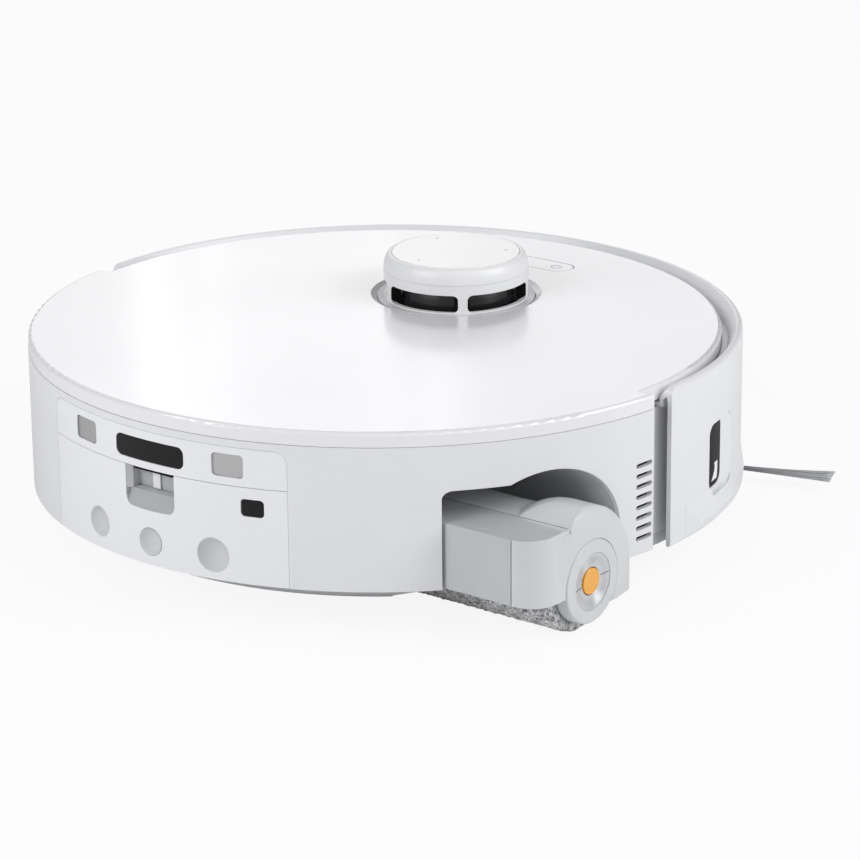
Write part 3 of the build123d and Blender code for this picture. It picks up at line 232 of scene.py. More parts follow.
@dataclass(frozen=True)
class Turned(Finish):
    """Metal with rings from turning, round an axis along X."""

    span: tuple[float, float] = (0.0, 1.0)
    centre_mm: tuple[float, float] = (0.0, 0.0)
    pitch_mm: float = 6.91
    stretch: float = 0.9

    def surface(self, paint: Paint) -> None:
        """Draws rings round the axis, and stretches highlights across them.

        Args:
            paint: The material.
        """
        paint.shader.inputs["Anisotropic"].default_value = self.stretch
        paint.shader.inputs["Anisotropic Rotation"].default_value = 0.25
        turning = add_node(paint.tree, "ShaderNodeTangent", direction_type="RADIAL", axis="X")
        paint.tree.links.new(turning.outputs["Tangent"], paint.shader.inputs["Tangent"])
        y, z = self.centre_mm
        centred = add_node(paint.tree, "ShaderNodeMapping",
                           {"Vector": paint.place, "Location": (0.0, -y * MM, -z * MM)})
        scale = 2 * math.pi / (self.pitch_mm * MM * WAVE_RADIANS)
        rings = add_node(paint.tree, "ShaderNodeTexWave",
                         {"Vector": centred.outputs["Vector"], "Scale": scale, "Distortion": 0.0},
                         wave_type="RINGS", rings_direction="X").outputs["Fac"]
        self.wire(paint, rings, rings, rings)


@dataclass(frozen=True)
class Brushed(Finish):
    """Metal with straight brushing marks along one axis."""

    span: tuple[float, float] = (0.3, 0.7)
    along: tuple[float, float, float] = (0.02, 1.0, 1.0)

    def surface(self, paint: Paint) -> None:
        """Stretches fine noise along the brushing direction.

        Args:
            paint: The material.
        """
        drawn = add_node(paint.tree, "ShaderNodeMapping", {"Vector": paint.place, "Scale": self.along})
        marks = add_node(paint.tree, "ShaderNodeTexNoise",
                         {"Vector": drawn.outputs["Vector"], "Scale": 1 / (self.grain_mm * MM),
                          "Detail": 4.0}).outputs["Fac"]
        self.wire(paint, marks, marks, marks)


@dataclass(frozen=True)
class Bristled(Finish):
    """Nylon filament: darker where it is bundled at the hub, partly from its density and partly painted
    shade, and pale at its free tips.
    """

    span: tuple[float, float] = (0.0, 1.0)
    bundle_shade_mm: float = 30.0
    free_mm: float = 66.0

    def surface(self, paint: Paint) -> None:
        """Runs from colour to tint with the distance from the hub: painted shade near the hub.

        Args:
            paint: The material.
        """
        x, y = BRUSH_HUB_MM
        flat = add_node(paint.tree, "ShaderNodeMapping",
                        {"Vector": paint.place, "Location": (-x * MM, -y * MM, 0.0),
                         "Scale": (1.0, 1.0, 0.0)})
        reach = add_node(paint.tree, "ShaderNodeVectorMath", {0: flat.outputs["Vector"]}, operation="LENGTH")
        share = add_node(paint.tree, "ShaderNodeMapRange",
                         {"Value": reach.outputs["Value"], "From Min": self.bundle_shade_mm * MM,
                          "From Max": self.free_mm * MM})
        streaks = add_node(paint.tree, "ShaderNodeTexNoise",
                           {"Vector": paint.place, "Scale": 1 / (self.grain_mm * MM)})
        self.wire(paint, share.outputs["Result"], streaks.outputs["Fac"])


@dataclass(frozen=True)
class Looped(Finish):
    """Terry cloth: curly loops with light tips, and painted shade darkening their roots."""

    span: tuple[float, float] = (0.36, 0.62)
    sheen: float = 0.4

    def surface(self, paint: Paint) -> None:
        """Curls a noise into loops, with painted shade at their roots.

        Args:
            paint: The material.
        """
        paint.shader.inputs["Sheen Weight"].default_value = self.sheen
        paint.shader.inputs["Sheen Roughness"].default_value = 0.6
        curl = add_node(paint.tree, "ShaderNodeTexNoise",
                        {"Vector": paint.place, "Scale": 1 / (self.grain_mm * MM), "Detail": 5.0,
                         "Distortion": 1.2}).outputs["Fac"]
        self.wire(paint, curl, curl, curl)


# --- the finishes of this robot ---
# Real mould grain is near 0.1 mm, and brushing is finer. Both are drawn at 0.2 to 0.8 mm so that they show.
# Moulded ABS polished like a piano lid: a bright, deep white that mirrors what stands on it.
LID_GLOSS = Lacquered("abs_lid_piano_white", "#F1F0F4", "#EFEEF2", 0.32, mottle_mm=90.0, coat_roughness=0.14)
# Moulded ABS under a soft lacquer: white with a broad, quiet sheen.
SHELL_SATIN = Lacquered("abs_shell_gloss_white", "#E9EAED", "#E7E8EB", 0.34, mottle_mm=60.0, coat=0.5,
                        coat_roughness=0.36)
# The same lacquer on the water tank, a tone lighter than the walls.
TANK_SATIN = Lacquered("abs_tank_gloss_white", "#F1F2F5", "#EFF0F3", 0.34, mottle_mm=60.0, coat=0.5,
                       coat_roughness=0.36)
# The tank's dished ports: matt, and a tone darker as painted shade in their hollows.
PORT_SHADE_MATT = Finish("abs_port_painted_shade_white", "#D3D4D7", "#CECFD2", 0.62, relief_mm=0.006, gloss=0.3)
# Fine-grained ABS: a slightly duller white for the parts inside the outline.
TRIM_SATIN = Finish("abs_trim_satin_white", "#EFEFF1", "#ECECEE", 0.42, grain_mm=0.45, relief_mm=0.005)
# The same plastic in light grey, under the turret.
BASE_GREY = Finish("abs_base_satin_grey", "#DADBDD", "#D5D6D8", 0.42, grain_mm=0.45, relief_mm=0.005)
# Satin ABS in light grey: softer edges of light than the white shell.
MOP_GREY = Finish("abs_mop_housing_satin_grey", "#D6D8DA", "#D2D4D7", 0.40, grain_mm=0.45, relief_mm=0.004)
# The same plastic a tone darker, on the rear channel.
MOP_BOX_GREY = Finish("abs_mop_box_satin_grey", "#C3C5C8", "#BFC1C4", 0.40, grain_mm=0.45, relief_mm=0.004)
# Polished grey cover: it mirrors the dark bay at its inner end and the room at its outer end.
MOP_PLATE = Lacquered("abs_mop_plate_polished_grey", "#D3D5D7", "#CED0D2", 0.26, coat_roughness=0.06)
# Grained ABS frame: a matt light grey that falls into shade behind the bumper.
FRAME_GREY = Finish("abs_frame_grained_grey", "#DCDDDF", "#D7D8DA", 0.55, grain_mm=0.6, relief_mm=0.02)
# Bay lining: the same plastic, a tone darker.
BAY_GREY = Finish("abs_bay_grained_grey", "#CFD0D2", "#C9CACC", 0.50, grain_mm=0.6, relief_mm=0.015)
# Grained ABS pan: matt grey that hides scuffs.
PAN_GREY = Finish("abs_pan_grained_grey", "#C9CBCE", "#C3C5C8", 0.55, grain_mm=0.7, relief_mm=0.03)
# Grained black ABS of the bays in the underside: deep and without glints.
BAY_BLACK = Finish("abs_bay_grained_black", "#2A2B2E", "#252628", 0.58, grain_mm=0.7, relief_mm=0.03)
# Infrared-clear polycarbonate: near black with a thin, sharp reflection.
WINDOW_BLACK = Finish("polycarbonate_window_black", "#08090B", "#0B0C0E", 0.10, Ior.POLYCARBONATE,
                      gloss=0.24, rough_spread=0.02)
# The same sheet, sunk behind a slope, so it catches less of the room.
WINDOW_DEEP = Finish("polycarbonate_window_deep_black", "#08090B", "#0B0C0E", 0.16, Ior.POLYCARBONATE,
                     gloss=0.05, rough_spread=0.02)
# The laser head's cover: the same sheet bent round, with a soft upright glint.
DRUM_BLACK = Finish("polycarbonate_drum_smoke_black", "#1F2022", "#232426", 0.26, Ior.POLYCARBONATE,
                    gloss=0.45, rough_spread=0.03)
# Nickel-plated strip, brushed lengthways: a soft neutral grey glint.
CONTACT_NICKEL = Brushed("nickel_contact_satin", "#C9C9CA", "#BCBCBE", 0.46, metallic=1.0, grain_mm=0.2,
                         relief_mm=0.003, along=(0.03, 1.0, 1.0))
# Ground steel: a hard bright line along each rod.
ROD_STEEL = Brushed("steel_rod_ground", "#BFC1C4", "#AFB1B4", 0.25, metallic=1.0, grain_mm=0.2,
                    relief_mm=0.002, along=(1.0, 0.05, 0.05))
# Chrome turned on a lathe: highlights fan out from the centre like two cones. Real tool marks are about
# 0.1 mm apart, drawn as broad shallow rings so that they show.
DISH_CHROME = Turned("chrome_dish_turned", "#E8E9EB", "#E2E3E5", 0.28, metallic=1.0, relief_mm=0.0005,
                     centre_mm=MOP_AXIS_MM)
# Polished coloured ABS: a clear warm spot.
RELEASE_ORANGE = Lacquered("abs_release_gloss_orange", "#FAB433", "#F5AB2B", 0.30, coat_roughness=0.06)
# Terry of split polyester: curly loops about 2 mm apart, pale at their tips and darkened at their roots by
# painted shade.
CLOTH = Looped("polyester_terry_grey", "#4C4E51", "#F0F0F2", 0.9, Ior.POLYESTER, grain_mm=2.2, relief_mm=0.7)
# Moulded satin ABS of the drive parts: mid grey with a soft, broad sheen.
CORE_GREY = Finish("abs_core_satin_grey", "#77797D", "#707276", 0.5, relief_mm=0.006)
# Moulded silicone rubber: dark and nearly without sheen.
SCRAPER = Finish("silicone_scraper_matt", "#36383B", "#303235", 0.6, Ior.RUBBER, relief_mm=0.01)
# Moulded rubber fins, matt with a fine bloom.
BRUSH_RUBBER = Finish("rubber_brush_matt", "#4A4D51", "#424549", 0.62, Ior.RUBBER, relief_mm=0.02)
# Nylon filaments: grey in the bundle, partly from their density and partly painted shade, nearly clear at the
# tips.
BRISTLE = Bristled("nylon_filament_grey", "#85878B", "#C3C4C7", 0.40, Ior.NYLON, grain_mm=1.0)
# Moulded tyre rubber: dull black with a rough tread.
TYRE_RUBBER = Finish("rubber_tyre_moulded", "#26282A", "#2E3032", 0.72, Ior.RUBBER, grain_mm=0.8,
                     relief_mm=0.04)
# Moulded satin ABS of the wheel centres: a mid grey that stands out from the dark tyre.
HUB_GREY = Finish("abs_hub_satin_grey", "#7E8185", "#76797D", 0.48, relief_mm=0.006)
# Grained dark grey ABS of arms and covers: dull, so that edges and screws stand out.
ARM_BLACK = Finish("abs_arm_grained_dark_grey", "#3A3C3F", "#343639", 0.55, grain_mm=0.6, relief_mm=0.02)
# Drawn steel: faint streaks of light over the can.
MOTOR_STEEL = Brushed("steel_motor_can_drawn", "#A2A4A7", "#929497", 0.34, metallic=1.0, grain_mm=0.3,
                      relief_mm=0.004)
# Green solder mask over woven glass: a satin green with small cloudy patches.
BOARD_GREEN = Finish("epoxy_board_solder_mask", "#1E5C3B", "#1A5034", 0.4, Ior.EPOXY, mottle_mm=3.0)
# Shrunk PVC film: a smooth blue with a quiet gloss over the cells.
BATTERY_WRAP = Finish("pvc_battery_wrap_blue", "#2D5089", "#284A80", 0.35, relief_mm=0.01)
# Pleated fibre paper, dull and off-white.
FILTER_PAPER = Finish("paper_filter_pleated", "#DCDCD4", "#CDCDC4", 0.85, Ior.PAPER, grain_mm=0.4,
                      relief_mm=0.05)
# Smoke-grey ABS from a polished mould: dark with sharp glints.
BIN_SMOKE = Lacquered("abs_bin_smoke_grey", "#565A5E", "#505458", 0.25)
# Moulded satin ABS: a light grey lid over the dark bin.
BIN_LID = Finish("abs_bin_lid_satin_grey", "#D9DBDD", "#D3D5D7", 0.42, relief_mm=0.005)
# Grained ABS of the ducts: dark grey and dull.
DUCT_GREY = Finish("abs_duct_grained_grey", "#4C4F52", "#464A4D", 0.55, relief_mm=0.02)
# Zinc-plated screw heads: small cool glints.
SCREW_ZINC = Brushed("zinc_screw_plated", "#96989B", "#85878A", 0.4, metallic=1.0, grain_mm=0.2,
                     relief_mm=0.003)
# Satin white ABS: soft light over the domed rim. Also the painted highlight on the latch's rib and the
# painted reflection in the side window.
TURRET_WHITE_AND_HIGHLIGHT = Lacquered("abs_turret_white_and_painted_highlight", "#F1F1F3", "#EEEFF0", 0.38, coat=0.25, coat_roughness=0.38)
# The disc let into its top: the same ABS, polished a little more.
DISC_SATIN = Lacquered("abs_turret_disc_white", "#F3F2F5", "#F1F0F3", 0.32, coat=0.8, coat_roughness=0.2)
# Satin ABS of the finger latch: a mid grey that shows where to press.
LATCH_GREY = Finish("abs_latch_satin_grey", "#B7B9BB", "#B0B2B5", 0.42, relief_mm=0.004)
# The finger scoop under it, a tone darker.
SCOOP_GREY = Finish("abs_scoop_satin_grey", "#B4B6B8", "#AEB0B2", 0.40, relief_mm=0.004)
# The recess's sides, lighter again because they stand in its shade.
LINING_GREY = Finish("abs_recess_satin_light_grey", "#D3D4D6", "#CDCED0", 0.42, relief_mm=0.004)
# Matt black, with nothing to see inside: painted shade in the open slit above the tab and on the turret's
# window jambs, and the dark joints on the mop's plate and dish.
BLACK_SHADE_AND_JOINT = Finish("matt_black_painted_shade_and_joint", "#0B0B0C", "#0E0E0F", 0.8, gloss=0.1)
# Screen-printed ink: an even mid grey, also used for the joint lines round the contacts and the plug, and as
# painted shade in the microphone holes.
INK_AND_SHADE_GREY = Finish("ink_and_painted_shade_grey", "#8E9195", "#888B8F", 0.5, mottle_mm=2.0)


def dress(finish: Finish, nodes: Iterable[str]) -> None:
    """Gives CAD nodes a finish.

    Args:
        finish: The finish.
        nodes: Names of the CAD nodes that get it.
    """
    for name in nodes:
        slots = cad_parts[name].data.materials
        for i in range(len(slots)):
            slots[i] = finish.material()
        log.info("dressed %s as %s", name, finish.name)


def add_object(name: str, data: ID) -> Object:
    """Adds an object to the scene.

    Args:
        name: The object's name.
        data: Its mesh, lamp or camera.

    Returns:
        The new object.
    """
    made = bpy.data.objects.new(name, data)
    bpy.context.scene.collection.objects.link(made)
    return made


def as_mesh(name: str, made: BMesh, smooth: bool = False) -> Mesh:
    """Turns a working mesh into a finished one.

    Args:
        name: The mesh's name.
        made: The working mesh, freed here.
        smooth: Whether its faces are shaded smooth.

    Returns:
        The finished mesh.
    """
    mesh = bpy.data.meshes.new(name)
    made.to_mesh(mesh)
    made.free()
    mesh.polygons.foreach_set("use_smooth", [smooth] * len(mesh.polygons))
    return mesh


def make_piece(name: str, made: BMesh, finish: Finish, body: str, smooth: bool = False) -> Object:
    """Turns a working mesh into a piece of the robot.

    Args:
        name: The piece's name.
        made: The working mesh, in metres and in the robot's frame. It is freed here.
        finish: The piece's finish.
        body: The CAD body that it moves with.
        smooth: Whether its faces are shaded smooth.

    Returns:
        The new piece.
    """
    bmesh.ops.recalc_face_normals(made, faces=made.faces)
    mesh = as_mesh(name, made, smooth)
    mesh.materials.append(finish.material())
    piece = add_object(name, mesh)
    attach(piece, body)
    log.info("built %s: %d faces", name, len(mesh.polygons))
    return piece


def compass(degrees: float) -> Vector:
    """Returns the level unit vector at an angle from +X."""
    return Vector((math.cos(math.radians(degrees)), math.sin(math.radians(degrees)), 0.0))


def spaced(start: float, end: float, steps: int) -> list[float]:
    """Returns evenly spaced values from start to end, both included."""
    return [start + (end - start) * i / steps for i in range(steps + 1)]


def surface_of(node: str) -> BVHTree:
    """Returns a search tree of a CAD node's surface."""
    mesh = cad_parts[node].data
    return BVHTree.FromPolygons([v.co.copy() for v in mesh.vertices], [f.vertices[:] for f in mesh.polygons])


def landed(tree: BVHTree, spot: Vector, way: Vector, gap: float = 0.0) -> Vector:
    """Returns where a ray from a spot meets a surface, or the spot where it misses, less a gap."""
    return (tree.ray_cast(spot, way)[0] or spot) - way * gap


def join_rings(made: BMesh, rings: list[list[BMVert]], closed: bool = False) -> None:
    """Joins rings of as many points each into a tube.

    Args:
        made: The working mesh.
        rings: The rings, in order.
        closed: Whether the last ring joins the first. Otherwise both ends are capped.
    """
    for a, b in zip(rings, rings[1:] + rings[: int(closed)]):
        for j in range(len(a)):
            k = (j + 1) % len(a)
            made.faces.new((a[j], b[j], b[k], a[k]))
    if not closed:
        made.faces.new(rings[0])
        made.faces.new(list(reversed(rings[-1])))


def add_band(
    made: BMesh,
    path: list[Vector],
    width: float,
    normal: Vector,
    thickness: float = LINE,
    closed: bool = False,
) -> None:
    """Adds a flat band of even width along a path.

    Args:
        made: The working mesh.
        path: The middle of the band's underside.
        width: The band's width.
        normal: The way that its top faces.
        thickness: Its thickness along the normal.
        closed: Whether the band runs back to its start.
    """
    count = len(path)
    rings = []
    for i, spot in enumerate(path):
        before = path[i - 1] if closed or i else spot
        after = path[(i + 1) % count] if closed or i < count - 1 else spot
        side = (after - before).cross(normal).normalized() * width / 2
        rise = normal * thickness
        corners = (spot - side, spot + side, spot + side + rise, spot - side + rise)
        rings.append([made.verts.new(corner) for corner in corners])
    join_rings(made, rings, closed)


def add_sheet(made: BMesh, spots: list[list[Vector]]) -> None:
    """Adds an open sheet over a grid of points.

    Args:
        made: The working mesh.
        spots: The rows of points, each with as many.
    """
    grid = [[made.verts.new(spot) for spot in row] for row in spots]
    for a, b in zip(grid, grid[1:]):
        for j in range(len(a) - 1):
            made.faces.new((a[j], b[j], b[j + 1], a[j + 1]))


# --- sub-assemblies ---
@dataclass
class Shell:
    """Lid, walls, bumper and the frame between them."""

    contact_inner: float = 35.6 * MM  # From the middle to a contact's near side.
    contact_corner: float = 1.7 * MM
    contact_inset: float = 0.2 * MM
    edge_width: float = 0.3 * MM
    corner_steps: int = 4
    # Height, left edge and right edge of the painted reflection, as shares of the window.
    reflection_rows: tuple[tuple[float, float, float], ...] = (
        (0.07, 0.44, 0.78), (0.13, 0.54, 0.83), (0.20, 0.62, 0.84), (0.27, 0.66, 0.84), (0.33, 0.62, 0.84),
    )

    def build(self) -> None:
        """Dresses the outer shell."""
        dress(LID_GLOSS, ["top_lid", "power_button"])
        dress(SHELL_SATIN, ["side_wall", "bumper_shell"])
        dress(TANK_SATIN, ["water_tank", "rear_sensor_strip"])
        dress(FRAME_GREY, ["front_frame"])
        dress(BAY_GREY, ["mop_bay_liner"])
        dress(TRIM_SATIN, ["inner_deck"])
        dress(WINDOW_BLACK, ["front_sensor_window", "rear_ir_window", "tank_sensor_window"])
        dress(WINDOW_DEEP, ["side_sensor_window"])
        dress(CONTACT_NICKEL, ["charging_contacts"])
        self.contact_edges()
        self.window_reflection()

    def contact_edges(self) -> None:
        """Draws the shade line round each charging contact."""
        tree = surface_of("charging_contacts")
        low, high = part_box("charging_contacts")
        inset = self.contact_inset + self.contact_corner
        foot, top = low.z + inset, high.z - inset
        made = bmesh.new()
        for side in (-1, 1):
            left, right = sorted((side * self.contact_inner, side * high.x))
            path = []
            for x, z, start in (
                (right - inset, top, 0), (left + inset, top, 90),
                (left + inset, foot, 180), (right - inset, foot, 270),
            ):
                for k in range(self.corner_steps + 1):
                    turn = math.radians(start + 90 * k / self.corner_steps)
                    spot = Vector((x + self.contact_corner * math.cos(turn), low.y - OUTSIDE,
                                   z + self.contact_corner * math.sin(turn)))
                    path.append(landed(tree, spot, AHEAD, LINE))
            add_band(made, path, self.edge_width, -AHEAD, closed=True)
        make_piece("contact_edge_lines", made, INK_AND_SHADE_GREY, "main_body")

    def window_reflection(self) -> None:
        """Sets a small white patch low behind the side window: a painted reflection."""
        tree = surface_of("side_sensor_window")
        low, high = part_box("side_sensor_window")
        tall, wide = high.z - low.z, high.y - low.y
        grid = []
        for rise, left, right in self.reflection_rows:
            starts = [Vector((high.x + OUTSIDE, low.y + share * wide, low.z + rise * tall))
                      for share in (left, (left + right) / 2, right)]
            grid.append([landed(tree, spot, -RIGHT, SKIN) for spot in starts])
        made = bmesh.new()
        add_sheet(made, grid)
        make_piece("side_window_reflection", made, TURRET_WHITE_AND_HIGHLIGHT, "bumper")


@dataclass
class PowerButton:
    """Printed symbols on the lid's button: power and home."""

    y: float = 123.5 * MM
    power_x: float = 14.0 * MM
    home_x: float = -14.0 * MM
    size: float = 2.7 * MM
    stroke: float = 0.5 * MM
    ink: float = 0.03 * MM
    arc: tuple[float, float] = (125.0, 415.0)
    arc_steps: int = 40
    stem: tuple[float, float] = (0.25, 1.15)
    house: tuple[tuple[float, float], ...] = (
        (-0.9, -0.8), (0.9, -0.8), (0.9, 0.25), (0.0, 1.05), (-0.9, 0.25),
    )

    def build(self) -> None:
        """Prints the two symbols."""
        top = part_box("power_button")[1].z + OUTSIDE
        tree = surface_of("power_button")

        def on_button(x: float, y: float) -> Vector:
            """Returns the button's top at x from the middle and y from the symbols' line."""
            return landed(tree, Vector((x, self.y + y, top)), -UP)

        made = bmesh.new()
        ways = [compass(angle) * self.size for angle in spaced(*self.arc, self.arc_steps)]
        add_band(made, [on_button(self.power_x + way.x, way.y) for way in ways], self.stroke, UP, self.ink)
        stem = [on_button(self.power_x, self.size * share) for share in self.stem]
        add_band(made, stem, self.stroke, UP, self.ink)
        outline = [on_button(self.home_x + self.size * x, self.size * y) for x, y in self.house]
        add_band(made, outline, self.stroke, UP, self.ink, closed=True)
        make_piece("button_symbols", made, INK_AND_SHADE_GREY, "power_button")


@dataclass
class TankPorts:
    """Dished ports low on the water tank, the middle one closed by a plug."""

    # Middle across, middle up and rim radius of each port.
    places: tuple[tuple[float, float, float], ...] = (
        (-35.0 * MM, 36.0 * MM, 7.6 * MM), (0.0, 34.7 * MM, 6.6 * MM), (34.9 * MM, 34.8 * MM, 8.6 * MM),
    )
    plug: int = 1
    lip: float = 0.35 * MM
    rings: int = 8
    around: int = 40
    joint_gap: float = 0.1 * MM
    joint_width: float = 0.3 * MM
    joint_around: int = 60
    merge: float = 0.001 * MM

    def build(self) -> None:
        """Lines the three dishes with painted shade and draws the joint round the plug."""
        tree = surface_of("water_tank")
        made = bmesh.new()
        for x, z, rim in self.places:
            rings = [self.circle(tree, (x, z), reach, self.around)
                     for reach in spaced(0.0, rim - self.lip, self.rings)]
            add_sheet(made, [[*ring, ring[0]] for ring in rings])
        bmesh.ops.remove_doubles(made, verts=made.verts, dist=self.merge)
        # A darker matt lining in each dish: painted shade.
        make_piece("tank_port_shade_linings", made, PORT_SHADE_MATT, "water_tank", smooth=True)
        x, z, rim = self.places[self.plug]
        joint = bmesh.new()
        path = self.circle(tree, (x, z), rim + self.joint_gap, self.joint_around)
        add_band(joint, path, self.joint_width, -AHEAD, closed=True)
        make_piece("tank_plug_joint", joint, INK_AND_SHADE_GREY, "water_tank")

    def circle(self, tree: BVHTree, middle: tuple[float, float], reach: float, count: int) -> list[Vector]:
        """Lays a circle on the tank.

        Args:
            tree: The tank's surface.
            middle: The circle's middle, across and up.
            reach: Its radius.
            count: How many points it has.

        Returns:
            The points, a skin's gap off the tank.
        """
        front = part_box("water_tank")[0].y - OUTSIDE
        ways = [compass(360 * k / count) * reach for k in range(count)]
        starts = [Vector((middle[0] + way.x, front, middle[1] + way.y)) for way in ways]
        return [landed(tree, spot, AHEAD, SKIN) for spot in starts]


@dataclass
class TankLatch:
    """Finger latch of the water tank, with its grey recess."""

    body_radius: float = 175.0 * MM
    half: float = 14.8 * MM
    bottom: float = 49.8 * MM
    ledge: float = 58.0 * MM
    top: float = 69.65 * MM
    lip_depth: float = 3.0 * MM
    corner: float = 5.0 * MM
    fold: float = 2.2 * MM
    fold_run: float = 1.2  # Depth of the fold for each unit of its width.
    set_in: float = 0.3 * MM  # From the panel's surface to a lining's front edge.
    back_depth: float = 3.0 * MM  # From the tab's face to the linings' rear edge.
    slit_ahead: float = 0.9 * MM  # From the tab's face out to the shade behind the slit.
    scoop_clear: float = 0.02 * MM
    search_step: float = 0.05 * MM
    scoop_grid: tuple[int, int] = (40, 12)
    side_rows: int = 8
    side_toe: tuple[int, int] = (6, 2)
    level_grid: tuple[int, int] = (8, 3)
    slit_rows: int = 2
    highlight_heights: tuple[float, ...] = (0.04, 0.35, 0.66, 0.93)
    highlight_columns: tuple[float, ...] = (-3.4 * MM, -1.2 * MM, 1.0 * MM)

    def build(self) -> None:
        """Dresses the tab and lines its recess."""
        dress(LATCH_GREY, ["tank_latch"])
        low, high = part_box("tank_latch")
        self.scoop()
        self.lining(low.y + self.back_depth)
        self.slit(high.z, low.y - self.slit_ahead)
        self.rib_highlight(low, high)

    def wall_y(self, x: float) -> float:
        """Returns the panel's surface at x."""
        return -math.sqrt(self.body_radius**2 - x * x)

    def scoop_y(self, z: float) -> float:
        """Finds the scoop's round surface.

        Args:
            z: The height on it.

        Returns:
            Its y at that height.
        """
        height = self.ledge - self.bottom
        radius = (height**2 + self.lip_depth**2) / (2 * self.lip_depth)
        middle = -self.body_radius + self.lip_depth - radius
        return middle + math.sqrt(radius**2 - (z - self.ledge) ** 2)

    def foot(self, x: float) -> float:
        """Finds the recess's lower edge, on its rounded corners or where the scoop runs out.

        Args:
            x: The place across.

        Returns:
            The lowest z of the recess there.
        """
        over = max(0.0, abs(x) - (self.half - self.corner))
        z = self.bottom + self.corner - math.sqrt(max(0.0, self.corner**2 - over**2))
        while self.scoop_y(z) < self.wall_y(x) + self.scoop_clear:
            z += self.search_step
        return z

    def scoop(self) -> None:
        """Lines the finger scoop."""
        columns, rows = self.scoop_grid
        grid = []
        for x in spaced(SKIN - self.half, self.half - SKIN, columns):
            heights = spaced(self.foot(x), self.ledge, rows)
            grid.append([Vector((x, self.scoop_y(z) - SKIN, z)) for z in heights])
        made = bmesh.new()
        add_sheet(made, grid)
        make_piece("latch_scoop_lining", made, SCOOP_GREY, "water_tank", smooth=True)

    def lining(self, back: float) -> None:
        """Lines the recess's two sides and its ledge.

        Args:
            back: The linings' rear edge.
        """
        made = bmesh.new()
        heights = spaced(self.ledge, self.top, self.side_rows)
        rows, columns = self.side_toe
        for side in (-1, 1):
            x = side * (self.half - SKIN)
            front = self.wall_y(x)
            inner = x - side * self.fold
            turn = front + self.fold_run * self.fold
            path = ((x, front + self.set_in), (inner, turn), (inner, (turn + back) / 2), (inner, back))
            add_sheet(made, [[Vector((px, py, z)) for px, py in path] for z in heights])
            add_sheet(made, [[Vector((x, y, z)) for y in spaced(front, self.scoop_y(z), columns)]
                             for z in spaced(self.foot(x), self.ledge, rows)])
        self.level_sheet(made, self.scoop_y(self.ledge), back, self.ledge + SKIN)
        make_piece("latch_recess_lining", made, LINING_GREY, "water_tank")

    def slit(self, low: float, back: float) -> None:
        """Closes the view through the open slit above the tab with painted shade: black sheets behind the
        slit and across the recess's top.

        Args:
            low: The slit's lower edge.
            back: Where the shade behind it stands.
        """
        made = bmesh.new()
        add_sheet(made, [[Vector((x, back, z)) for z in spaced(low, self.top, self.slit_rows)]
                         for x in spaced(-self.half, self.half, self.level_grid[0])])
        self.level_sheet(made, self.wall_y(self.half) + self.set_in, back + self.set_in, self.top - SKIN)
        make_piece("latch_slit_shade", made, BLACK_SHADE_AND_JOINT, "water_tank")

    def level_sheet(self, made: BMesh, front: float, back: float, z: float) -> None:
        """Adds a level sheet across the whole recess.

        Args:
            made: The working mesh.
            front: The sheet's front edge.
            back: Its rear edge.
            z: Its height.
        """
        columns, rows = self.level_grid
        add_sheet(made, [[Vector((x, y, z)) for y in spaced(front, back, rows)]
                         for x in spaced(-self.half, self.half, columns)])

    def rib_highlight(self, low: Vector, high: Vector) -> None:
        """Lays a white strip on the tab's rib: a painted highlight.

        Args:
            low: The tab's lower corner.
            high: Its upper corner.
        """
        tree = surface_of("tank_latch")
        heights = [low.z + (high.z - low.z) * share for share in self.highlight_heights]
        made = bmesh.new()
        add_sheet(made, [[landed(tree, Vector((x, low.y - OUTSIDE, z)), AHEAD, SKIN) for z in heights]
                         for x in self.highlight_columns])
        make_piece("latch_rib_painted_highlight", made, TURRET_WHITE_AND_HIGHLIGHT, "tank_latch")


